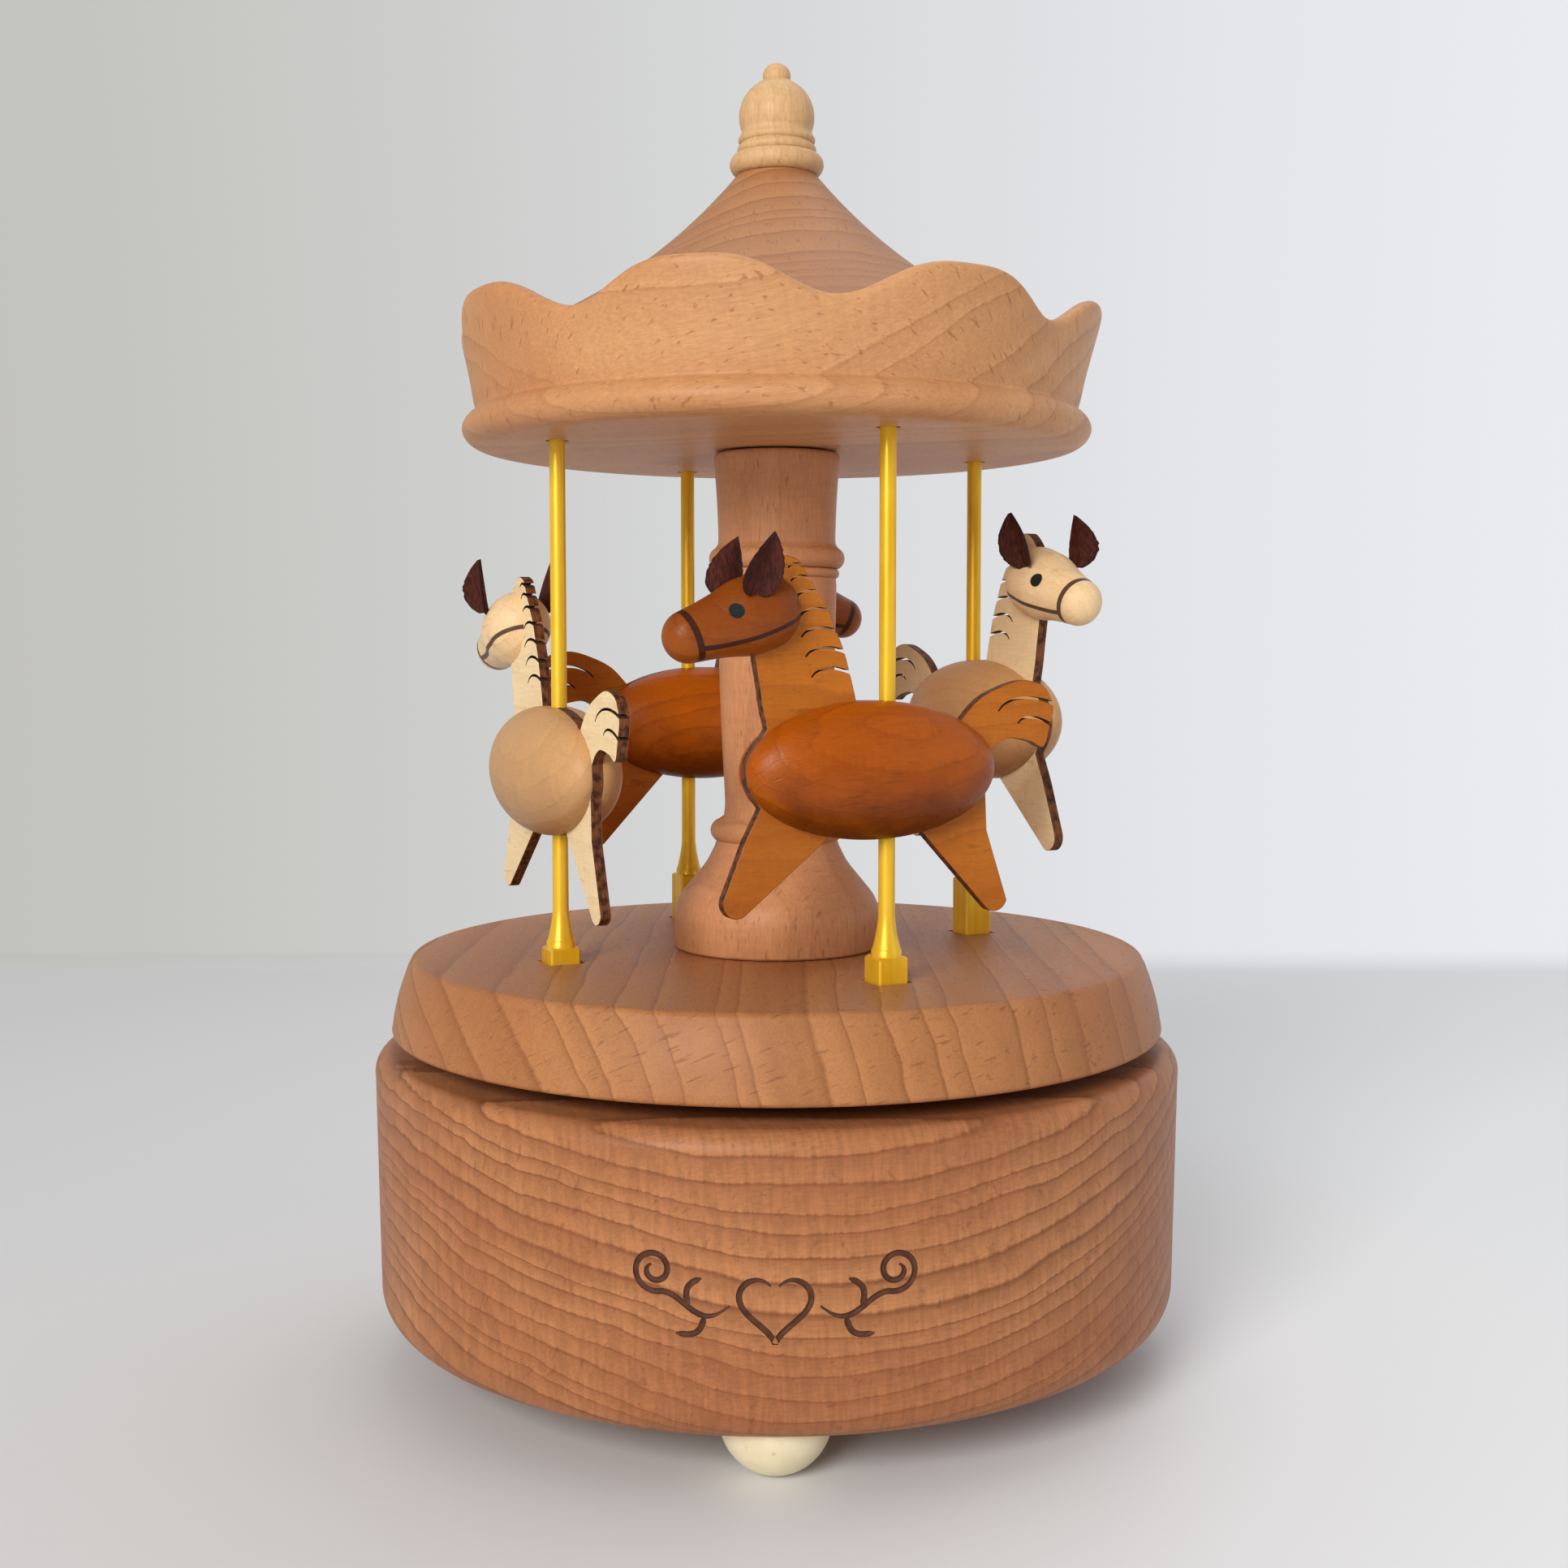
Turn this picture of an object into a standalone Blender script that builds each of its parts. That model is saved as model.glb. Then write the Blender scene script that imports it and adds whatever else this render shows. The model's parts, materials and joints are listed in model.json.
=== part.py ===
"""A turned wooden carousel music box, modelled as the separate pieces that it comes apart into.

The origin is at floor level on the turning axis, +Z up, and the front is towards -Y. The base holds a
spring-driven movement whose spindle turns the platform, the column and the canopy. Below the platform a
tilted disc turns on a slanted hub and carries the four pole feet, which lifts and lowers the horses.
"""

import math

import bmesh
import bpy
import numpy as np
from mathutils import Matrix, Vector

MM = 0.001
TAU = 2 * math.pi

# Clearances
GLUE_GAP = 0.1 * MM  # between glued faces
SEAT_GAP = 0.3 * MM  # between pieces that rest on or sit in each other
HOLE_PLAY = 0.5 * MM  # around a pole or a foot block that slides in its hole

# Base
BASE_RADIUS = 56.0 * MM
BASE_BOTTOM = 7.0 * MM
BASE_HEIGHT = 37.0 * MM
BASE_TAPER = 0.5 * MM  # how far the side draws in towards the floor
BASE_TOP_ROUND = 2.6 * MM
BASE_BOTTOM_ROUND = 5.0 * MM
WELL_RADIUS = 42.0 * MM
WELL_DEPTH = 6.5 * MM
DECK_THICKNESS = 3.5 * MM
CAVITY_RADIUS = 32.0 * MM
COVER_RADIUS = 35.0 * MM
COVER_THICKNESS = 2.5 * MM
COVER_SCREW_HEAD = 1.25 * MM
COVER_SCREW_SHANK = 0.7 * MM
COVER_SCREW_GRIP = 3.0 * MM  # how far a cover screw reaches into the base
BALL_RADIUS = 7.0 * MM
BALL_FLAT_RADIUS = 2.2 * MM
BALL_CIRCLE = 44.5 * MM
BALL_COUNT = 3

# Platform, which the spindle turns
PLATFORM_GAP = 2.3 * MM
PLATFORM_HEIGHT = 10.5 * MM
PLATFORM_RADIUS = 53.7 * MM
PLATFORM_TAPER = 2.5 * MM
PLATFORM_PLATE = 5.0 * MM
PLATFORM_SKIRT = 8.5 * MM
PLATFORM_ROUND = 0.9 * MM

# Column
COLUMN_HEIGHT = 69.3 * MM
COLUMN_FOOT_RADIUS = 14.5 * MM
COLUMN_NECK_RADIUS = 7.4 * MM
COLUMN_TOP_RADIUS = 8.8 * MM
COLUMN_BEAD_RADIUS = 9.5 * MM
TENON_RADIUS = 3.0 * MM
TENON_LENGTH = 4.2 * MM

# Canopy: a turned bowl with a scalloped rim, a roof cone in it and a finial
CANOPY_RADIUS = 43.35 * MM
CANOPY_FLOOR = 5.0 * MM
CANOPY_WALL = 3.6 * MM
CANOPY_BEAD = 4.4 * MM
CANOPY_VALLEY = 14.0 * MM  # rim height above the underside, between two scallops
SCALLOP_HEIGHT = 4.5 * MM
SCALLOP_FLARE = 1.7 * MM
SCALLOPS = 8
SCALLOP_PHASE = math.radians(257.2)
CONE_HEIGHT = 25.4 * MM
CONE_TOP_RADIUS = 5.6 * MM
CONE_EDGE = 1.2 * MM
FINIAL_RADIUS = 6.5 * MM
FINIAL_HEIGHT = 15.3 * MM
FINIAL_TENON = 4.0 * MM

# Horses on their poles
HORSES = 4
POLE_CIRCLE = 32.2 * MM
FIRST_POLE = math.radians(295.7)  # the pole at the front right
POLE_RADIUS = 1.05 * MM
POLE_INSERT = 5.0 * MM  # how deep a pole reaches into a body
POLE_PAST_FLOOR = 3.0 * MM  # how far a pole reaches past the canopy's floor at half lift
BLOCK_SIDE = 4.2 * MM
BLOCK_LENGTH = 14.2 * MM
BLOCK_SHOWS = 5.15 * MM  # block above the platform at half lift
FLARE_RADIUS = 2.0 * MM
FLARE_HEIGHT = 5.1 * MM
BODY_ABOVE_BLOCK = 23.65 * MM
BODY_LENGTH = 34.8 * MM
BODY_HEIGHT = 17.4 * MM
BODY_WIDTH = 14.2 * MM
BODY_FORWARD = 2.5 * MM  # body centre ahead of the pole
PLY = 1.5 * MM
HEAD_RADIUS = 4.8 * MM
HEAD_REACH = 10.0 * MM  # from the big end's centre to the muzzle's
HEAD_BACK = 2.3 * MM  # big end's centre behind the body's front
HEAD_ABOVE = 10.9 * MM  # and above the body's top
HEAD_DROOP = math.radians(17.5)
MUZZLE_RADIUS = 3.2 * MM
EAR_LENGTH = 7.6 * MM
EAR_WIDTH = 5.2 * MM
EAR_THICKNESS = 0.6 * MM
EAR_FORWARD = 0.9 * MM  # ear's foot ahead of the big end's centre
EAR_ABOVE = 1.2 * MM
EAR_SPLAY = math.radians(12)
EAR_LEAN = math.radians(14)

# Lifting gear under the platform
LIFT = 3.6 * MM  # rise and fall of a horse about its middle height
HIGH_SIDE = math.radians(57.5)
FOOT_BALL_RADIUS = 2.5 * MM
DISC_THICKNESS = 2.0 * MM
DISC_RIM = 4.8 * MM  # disc beyond the foot balls' circle
HUB_RADIUS = 5.0 * MM
HUB_FLANGE = 9.0 * MM

# Movement
BARREL_RADIUS = 11.0 * MM
BARREL_HEIGHT = 9.0 * MM
BARREL_WALL = 1.0 * MM
CROWN_TEETH = 36
CROWN_PITCH_RADIUS = 10.0 * MM
PINION_TEETH = 12
TOOTH_RISE = 0.55 * MM  # tooth above and below the pitch surface
TOOTH_BACKLASH = 0.30  # share of the pitch left free
SPINDLE_RADIUS = 2.0 * MM
SPINDLE_FLANGE = 7.0 * MM
ARBOR_RADIUS = 1.5 * MM
PINION_WIDTH = 1.6 * MM
SHAFT_RADIUS = 0.8 * MM
DRUM_RADIUS = 5.3 * MM
DRUM_LENGTH = 14.0 * MM
DRUM_START = BARREL_RADIUS + 1.6 * MM  # from the turning axis
PIN_HEIGHT = 0.5 * MM
NOTES = 18
COMB_THICKNESS = 1.0 * MM
COMB_ROOT = 9.0 * MM  # from the drum's axis
COMB_BACK = 13.0 * MM
BEDPLATE_THICKNESS = 1.6 * MM
BEDPLATE_BACK = 14.0 * MM
BEDPLATE_HALF = 13.5 * MM
LUG_HALF = 2.5 * MM
LUG_REACH = 2.0 * MM  # a lug above the drum's axis, and the far one past the drum's end
GOVERNOR_HEIGHT = 7.0 * MM
KEY_WIDTH = 15.0 * MM

# Heights that follow from the sizes above
BASE_TOP = BASE_BOTTOM + BASE_HEIGHT
WELL_FLOOR = BASE_TOP - WELL_DEPTH
CAVITY_TOP = WELL_FLOOR - DECK_THICKNESS
COVER_TOP = BASE_BOTTOM + COVER_THICKNESS + SEAT_GAP
PLATFORM_BOTTOM = BASE_TOP + PLATFORM_GAP
PLATFORM_TOP = PLATFORM_BOTTOM + PLATFORM_HEIGHT
PLATE_BOTTOM = PLATFORM_TOP - PLATFORM_PLATE
CANOPY_BOTTOM = PLATFORM_TOP + COLUMN_HEIGHT + 2 * GLUE_GAP
CANOPY_INSIDE = CANOPY_BOTTOM + CANOPY_FLOOR
BLOCK_TOP = PLATFORM_TOP + BLOCK_SHOWS
BLOCK_BOTTOM = BLOCK_TOP - BLOCK_LENGTH
DISC_HEIGHT = BLOCK_BOTTOM - SEAT_GAP - FOOT_BALL_RADIUS
BODY_CENTRE = BLOCK_TOP + BODY_ABOVE_BLOCK
POLE_TOP = CANOPY_INSIDE + POLE_PAST_FLOOR
TILT = math.atan(LIFT / POLE_CIRCLE)


def clear_scene():
    for obj in list(bpy.data.objects):
        bpy.data.objects.remove(obj, do_unlink=True)


def material(name, colour, roughness, metallic=0.0):
    found = bpy.data.materials.get(name)
    if found:
        return found
    made = bpy.data.materials.new(name)
    made.use_nodes = True
    shader = made.node_tree.nodes["Principled BSDF"]
    shader.inputs["Base Color"].default_value = (*colour, 1.0)
    shader.inputs["Roughness"].default_value = roughness
    shader.inputs["Metallic"].default_value = metallic
    return made


def beech():
    return material("beech", (0.60, 0.33, 0.18), 0.55)


def pale_wood():
    return material("pale_wood", (0.72, 0.52, 0.30), 0.5)


def stained_wood():
    return material("stained_wood", (0.40, 0.13, 0.03), 0.45)


def plywood():
    return material("plywood", (0.76, 0.62, 0.42), 0.6)


def leather():
    return material("leather", (0.06, 0.02, 0.015), 0.7)


def gold_plastic():
    return material("gold_plastic", (0.70, 0.40, 0.04), 0.35, 0.2)


def cream_wood():
    return material("cream_wood", (0.80, 0.72, 0.50), 0.5)


def brass():
    return material("brass", (0.70, 0.50, 0.20), 0.3, 1.0)


def steel():
    return material("steel", (0.55, 0.55, 0.56), 0.3, 1.0)


def cast_frame():
    return material("cast_frame", (0.48, 0.48, 0.49), 0.5, 1.0)


def object_from(name, bm, finish, place=None, smooth=True):
    """A finished object whose mesh is closed and faces outwards."""
    bmesh.ops.recalc_face_normals(bm, faces=bm.faces)
    mesh = bpy.data.meshes.new(name)
    bm.to_mesh(mesh)
    bm.free()
    mesh.materials.append(finish)
    if smooth:
        mesh.shade_smooth()
        mesh.set_sharp_from_angle(angle=math.radians(35))
    obj = bpy.data.objects.new(name, mesh)
    bpy.context.scene.collection.objects.link(obj)
    if place is not None:
        obj.matrix_world = place
    return obj


def cutter_from(name, bm, place=None):
    cutter = object_from(name, bm, brass(), place, smooth=False)
    cutter.hide_render = True
    cutter.display_type = "WIRE"
    return cutter


def combine(target, other, operation="DIFFERENCE"):
    modifier = target.modifiers.new(other.name, "BOOLEAN")
    modifier.operation = operation
    modifier.solver = "EXACT"
    modifier.object = other


def arc(centre, radius, start, end, steps):
    """Points on a circular arc, angles in degrees."""
    angles = np.radians(np.linspace(start, end, steps + 1))
    return [(centre[0] + radius * math.cos(a), centre[1] + radius * math.sin(a)) for a in angles]


def curve(points, steps):
    """Points on a smooth curve through the given ones."""
    rows = np.array([points[0], *points, points[-1]])
    found = []
    for i in range(1, len(rows) - 2):
        before, here, after, later = rows[i - 1 : i + 3]
        for t in np.linspace(0, 1, steps, endpoint=False):
            found.append(
                0.5
                * (
                    2 * here
                    + (after - before) * t
                    + (2 * before - 5 * here + 4 * after - later) * t**2
                    + (3 * here - before - 3 * after + later) * t**3
                )
            )
    found.append(rows[-1])
    return [tuple(point) for point in found]


def turned_mesh(profile, segments, shape=None):
    """A profile of (radius, height) from axis to axis, turned about Z. A shape function may move each
    point, given the index in the profile and the angle."""
    bm = bmesh.new()
    rings = []
    for index, (radius, height) in enumerate(profile):
        if radius < 1e-7:
            rings.append([bm.verts.new((0, 0, height))])
            continue
        ring = []
        for step in range(segments):
            angle = TAU * step / segments
            r, z = (radius, height) if shape is None else shape(index, angle)
            ring.append(bm.verts.new((r * math.cos(angle), r * math.sin(angle), z)))
        rings.append(ring)
    for low, high in zip(rings, rings[1:]):
        for step in range(segments):
            following = (step + 1) % segments
            corners = [low[step % len(low)], low[following % len(low)]]
            corners += [high[following % len(high)], high[step % len(high)]]
            bm.faces.new(list(dict.fromkeys(corners)))
    return bm


def closed_ring_mesh(profile, segments):
    """A closed profile that stays off the axis, turned about Z, as a washer is."""
    bm = bmesh.new()
    rings = []
    for radius, height in profile:
        angles = [TAU * step / segments for step in range(segments)]
        rings.append([bm.verts.new((radius * math.cos(a), radius * math.sin(a), height)) for a in angles])
    for index, low in enumerate(rings):
        high = rings[(index + 1) % len(rings)]
        for step in range(segments):
            following = (step + 1) % segments
            bm.faces.new((low[step], low[following], high[following], high[step]))
    return bm


def cylinder_mesh(radius, bottom, top, segments):
    return turned_mesh([(0, bottom), (radius, bottom), (radius, top), (0, top)], segments)


def slab_mesh(outline, low, high):
    """A flat outline in X and Y, extruded along Z."""
    bm = bmesh.new()
    bottom = [bm.verts.new((x, y, low)) for x, y in outline]
    top = [bm.verts.new((x, y, high)) for x, y in outline]
    count = len(outline)
    bm.faces.new(bottom)
    bm.faces.new(top)
    for i in range(count):
        bm.faces.new((bottom[i], bottom[(i + 1) % count], top[(i + 1) % count], top[i]))
    return bm


def box_mesh(low, high):
    corners = [(low[0], low[1]), (high[0], low[1]), (high[0], high[1]), (low[0], high[1])]
    return slab_mesh(corners, low[2], high[2])


def merged(first, second):
    """Both meshes in one, for a cutter made of several solids that stay clear of each other."""
    mesh = bpy.data.meshes.new("merged")
    second.to_mesh(mesh)
    second.free()
    first.from_mesh(mesh)
    bpy.data.meshes.remove(mesh)
    return first


def moved(bm, matrix):
    bm.transform(matrix)
    return bm


# Base ---------------------------------------------------------------------------------------------


def base_profile():
    """From the axis over the top of the well, down the outside and back under the floor's opening."""
    lower = BASE_RADIUS - BASE_TAPER
    points = [(0, WELL_FLOOR), (WELL_RADIUS, WELL_FLOOR), (WELL_RADIUS, BASE_TOP)]
    top = (BASE_RADIUS - BASE_TOP_ROUND, BASE_TOP - BASE_TOP_ROUND)
    points += arc(top, BASE_TOP_ROUND, 90, 0, 3)
    bottom = (lower - BASE_BOTTOM_ROUND, BASE_BOTTOM + BASE_BOTTOM_ROUND)
    points += arc(bottom, BASE_BOTTOM_ROUND, 0, -90, 6)
    points += [(COVER_RADIUS + SEAT_GAP, BASE_BOTTOM), (COVER_RADIUS + SEAT_GAP, COVER_TOP)]
    points += [(CAVITY_RADIUS, COVER_TOP), (CAVITY_RADIUS, CAVITY_TOP), (0, CAVITY_TOP)]
    return points


def ball_places():
    turn = TAU / BALL_COUNT
    angles = [-TAU / 4 + turn * i for i in range(BALL_COUNT)]
    return [Vector((BALL_CIRCLE * math.cos(a), BALL_CIRCLE * math.sin(a), 0)) for a in angles]


def ball_centre_height():
    return math.sqrt(BALL_RADIUS**2 - BALL_FLAT_RADIUS**2)


def sphere_profile(radius, flat, steps):
    start = -90 + math.degrees(math.asin(flat / radius))
    ends = [(0, -math.sqrt(radius**2 - flat**2))] if flat else []
    points = arc((0, 0), radius, start, 90, steps)
    if not flat:
        points[0] = (0, -radius)
    points[-1] = (0, radius)
    return ends + points


def make_base():
    body = object_from("base_body", turned_mesh(base_profile(), 40), beech())
    hole = cylinder_mesh(SPINDLE_RADIUS + 2 * HOLE_PLAY, CAVITY_TOP - MM, WELL_FLOOR + MM, 20)
    combine(body, cutter_from("spindle_hole", hole))
    height = ball_centre_height()
    for number, place in enumerate(ball_places(), 1):
        at = Matrix.Translation(place + Vector((0, 0, height)))
        pocket = turned_mesh(sphere_profile(BALL_RADIUS + SEAT_GAP, 0, 8), 16)
        combine(body, cutter_from(f"ball_pocket_{number}", pocket, at))
        ball = turned_mesh(sphere_profile(BALL_RADIUS, BALL_FLAT_RADIUS, 8), 16)
        object_from(f"ball_foot_{number}", ball, cream_wood(), at)


def screw_profile(play, below):
    """A countersunk screw from its head's flat face up, or its bore with some play around it."""
    head = COVER_SCREW_HEAD + play
    shank = COVER_SCREW_SHANK + play
    step = BASE_BOTTOM + 0.7 * COVER_SCREW_HEAD + play
    top = COVER_TOP + COVER_SCREW_GRIP + play
    cone = step + 0.4 * MM
    return [(0, below), (head, below), (head, step), (shank, cone), (shank, top), (0, top)]


def make_cover():
    low = BASE_BOTTOM
    high = low + COVER_THICKNESS
    cover = object_from("bottom_cover", cylinder_mesh(COVER_RADIUS, low, high, 36), pale_wood())
    opening = cylinder_mesh(ARBOR_RADIUS + HOLE_PLAY, low - MM, high + MM, 16)
    combine(cover, cutter_from("arbor_opening", opening))
    between = (CAVITY_RADIUS + COVER_RADIUS) / 2
    for number, side in ((1, 1), (2, -1)):
        at = Matrix.Translation((0, side * between, 0))
        object_from(f"cover_screw_{number}", turned_mesh(screw_profile(0, low), 12), steel(), at)
        play = turned_mesh(screw_profile(SEAT_GAP, low - MM), 12)
        bore = cutter_from(f"cover_screw_bore_{number}", play, at)
        combine(cover, bore)
        combine(bpy.data.objects["base_body"], bore)


# Lifting gear -------------------------------------------------------------------------------------


def slant():
    """Frame whose Z is the lifting disc's axis, at the middle of the disc."""
    turn = Matrix.Rotation(HIGH_SIDE, 4, "Z") @ Matrix.Rotation(-TILT, 4, "Y")
    return Matrix.Translation((0, 0, DISC_HEIGHT)) @ turn


def pole_angle(number):
    return FIRST_POLE - TAU / HORSES * (number - 1)


def pole_lift(number):
    return LIFT * math.cos(pole_angle(number) - HIGH_SIDE)


def foot_ball_centre(number):
    angle = pole_angle(number)
    height = DISC_HEIGHT + pole_lift(number)
    return Vector((POLE_CIRCLE * math.cos(angle), POLE_CIRCLE * math.sin(angle), height))


def make_lifting_gear():
    half = DISC_THICKNESS / 2
    foot = WELL_FLOOR + GLUE_GAP
    shoulder = HUB_RADIUS + 1.6 * MM
    bore = SPINDLE_RADIUS + HOLE_PLAY
    # The hub is a flange on the well's floor, a slanted shoulder under the disc and a slanted journal in it.
    hub = object_from("swash_hub", cylinder_mesh(HUB_FLANGE, foot, foot + 1.4 * MM, 24), brass())
    below = foot - DISC_HEIGHT + 0.9 * MM
    slanted = [(0, below), (shoulder, below), (shoulder, -half - SEAT_GAP), (HUB_RADIUS, -half - SEAT_GAP)]
    slanted += [(HUB_RADIUS, half + 0.8 * MM), (0, half + 0.8 * MM)]
    combine(hub, cutter_from("hub_journal", turned_mesh(slanted, 24), slant()), "UNION")
    combine(hub, cutter_from("hub_bore", cylinder_mesh(bore, foot - MM, DISC_HEIGHT + 4 * MM, 20)))
    outer = POLE_CIRCLE + DISC_RIM
    inner = HUB_RADIUS + SEAT_GAP
    ring = [(inner, -half), (outer, -half), (outer, half), (inner, half)]
    disc = object_from("swash_disc", closed_ring_mesh(ring, 32), steel(), slant())
    for number in range(1, HORSES + 1):
        centre = foot_ball_centre(number)
        at = Matrix.Translation(centre)
        ball = turned_mesh(sphere_profile(FOOT_BALL_RADIUS, 0, 6), 12)
        object_from(f"foot_ball_{number}", ball, steel(), at)
        socket = cylinder_mesh(FOOT_BALL_RADIUS + SEAT_GAP, -3 * half, 3 * half, 14)
        across = Matrix.Translation(centre) @ slant().to_3x3().to_4x4()
        combine(disc, cutter_from(f"ball_socket_{number}", socket, across))


# Movement -----------------------------------------------------------------------------------------


def movement_levels():
    """Bedplate underside, barrel underside and drum axis."""
    plate = COVER_TOP + 2 * SEAT_GAP
    barrel = plate + BEDPLATE_THICKNESS + 2 * SEAT_GAP
    pitch = barrel + BARREL_HEIGHT + TOOTH_RISE
    return plate, barrel, pitch + CROWN_PITCH_RADIUS * PINION_TEETH / CROWN_TEETH


def make_barrel():
    _, low, _ = movement_levels()
    top = low + BARREL_HEIGHT
    inside = BARREL_RADIUS - BARREL_WALL
    profile = [(0, top), (BARREL_RADIUS, top), (BARREL_RADIUS, low), (inside, low)]
    profile += [(inside, top - BARREL_WALL), (0, top - BARREL_WALL)]
    barrel = object_from("spring_barrel", turned_mesh(profile, 36), brass())
    # Crown teeth stand on the barrel's rim, each narrowing upwards.
    pitch = TAU / CROWN_TEETH
    inner = 2 * CROWN_PITCH_RADIUS - BARREL_RADIUS
    teeth = bmesh.new()
    sink = 0.3 * MM
    for tooth in range(CROWN_TEETH):
        middle = pitch * (tooth + 0.5)
        half_pitch = pitch * (1 - TOOTH_BACKLASH) / 2
        layers = []
        for z, share in ((top - sink, 0.62), (top + 2 * TOOTH_RISE, 0.36)):
            for radius in (inner, BARREL_RADIUS - 0.05 * MM):
                for side in (-1, 1):
                    angle = middle + side * half_pitch * share
                    layers.append(teeth.verts.new((radius * math.cos(angle), radius * math.sin(angle), z)))
        a, b, c, d, e, f, g, h = layers
        sides = ((a, b, f, e), (c, d, h, g), (a, c, g, e), (b, d, h, f))
        for corners in ((a, b, d, c), (e, f, h, g), *sides):
            teeth.faces.new(corners)
    combine(barrel, cutter_from("crown_teeth", teeth), "UNION")
    # The mainspring is a spiral strip between the arbor and the barrel's wall.
    turns = 4
    steps = 12 * turns
    first = ARBOR_RADIUS + 3 * SEAT_GAP
    last = inside - 2 * SEAT_GAP
    strip = 0.35 * MM
    angles = np.linspace(0, TAU * turns, steps + 1)
    radii = np.linspace(first, last - strip, steps + 1)
    inner_edge = [(r * math.cos(a), r * math.sin(a)) for r, a in zip(radii, angles)]
    outer_edge = [((r + strip) * math.cos(a), (r + strip) * math.sin(a)) for r, a in zip(radii, angles)]
    ceiling = top - BARREL_WALL - SEAT_GAP
    object_from("mainspring", slab_mesh(inner_edge + outer_edge[::-1], low + SEAT_GAP, ceiling), steel())
    # The spindle stands on the barrel and ends in the flange that carries the platform.
    foot = top + SEAT_GAP
    flange_top = PLATE_BOTTOM - SEAT_GAP
    flange_bottom = flange_top - 1.4 * MM
    flange = [(0, foot), (SPINDLE_RADIUS, foot), (SPINDLE_RADIUS, flange_bottom)]
    flange += [(SPINDLE_FLANGE, flange_bottom), (SPINDLE_FLANGE, flange_top), (0, flange_top)]
    object_from("drive_spindle", turned_mesh(flange, 20), steel())


def make_drum():
    _, _, height = movement_levels()
    pitch_radius = CROWN_PITCH_RADIUS * PINION_TEETH / CROWN_TEETH
    start = DRUM_START
    # Pins are raised cells on the drum's skin: one ring of cells for each note.
    columns = 2 * NOTES + 1
    around = 16
    order = np.random.default_rng(18)
    bm = bmesh.new()
    rows = []
    for column in range(columns + 1):
        x = start + DRUM_LENGTH * column / columns
        ring = []
        for step in range(around):
            angle = TAU * step / around
            ring.append(bm.verts.new((x, DRUM_RADIUS * math.cos(angle), DRUM_RADIUS * math.sin(angle))))
        rows.append(ring)
    pins = []
    for column in range(columns):
        chosen = order.choice(around, 2, replace=False) if column % 2 else []
        for step in range(around):
            following = (step + 1) % around
            here, beside = rows[column], rows[column + 1]
            face = bm.faces.new((here[step], here[following], beside[following], beside[step]))
            if step in chosen:
                pins.append(face)
    # Solid ends, with the shaft's two journals and the pinion added as one turned and toothed core.
    bm.faces.new(rows[0])
    bm.faces.new(rows[-1])
    bmesh.ops.recalc_face_normals(bm, faces=bm.faces)
    for face in pins:
        raised = bmesh.ops.extrude_discrete_faces(bm, faces=[face])["faces"][0]
        outward = raised.normal.copy()
        centre = raised.calc_center_median()
        for vert in raised.verts:
            vert.co = centre + (vert.co - centre) * 0.55 + outward * PIN_HEIGHT
    at = Matrix.Translation((0, 0, height))
    drum = object_from("drum", bm, brass(), at, smooth=False)
    shaft_start = CROWN_PITCH_RADIUS - 1.2 * MM
    shaft = cylinder_mesh(SHAFT_RADIUS, shaft_start, start + DRUM_LENGTH + LUG_REACH + SEAT_GAP, 14)
    lay = Matrix.Rotation(TAU / 4, 4, "Y")
    combine(drum, cutter_from("drum_shaft", moved(shaft, lay), at), "UNION")
    # The pinion's teeth mesh with the crown's: one tooth hangs straight down, between two crown teeth.
    outline = []
    tooth_angle = TAU / PINION_TEETH
    share = 1 - TOOTH_BACKLASH
    for tooth in range(PINION_TEETH):
        middle = tooth_angle * tooth - TAU / 4
        for radius, width in ((-1, -0.58), (1, -0.3), (1, 0.3), (-1, 0.58)):
            angle = middle + width * share * tooth_angle / 2
            reach = pitch_radius + radius * TOOTH_RISE
            outline.append((reach * math.cos(angle), reach * math.sin(angle)))
    half = PINION_WIDTH / 2
    pinion = slab_mesh(outline, CROWN_PITCH_RADIUS - half, CROWN_PITCH_RADIUS + half)
    upright = Matrix(((0, 0, 1, 0), (1, 0, 0, 0), (0, 1, 0, 0), (0, 0, 0, 1)))
    combine(drum, cutter_from("drum_pinion", moved(pinion, upright), at), "UNION")


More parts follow.
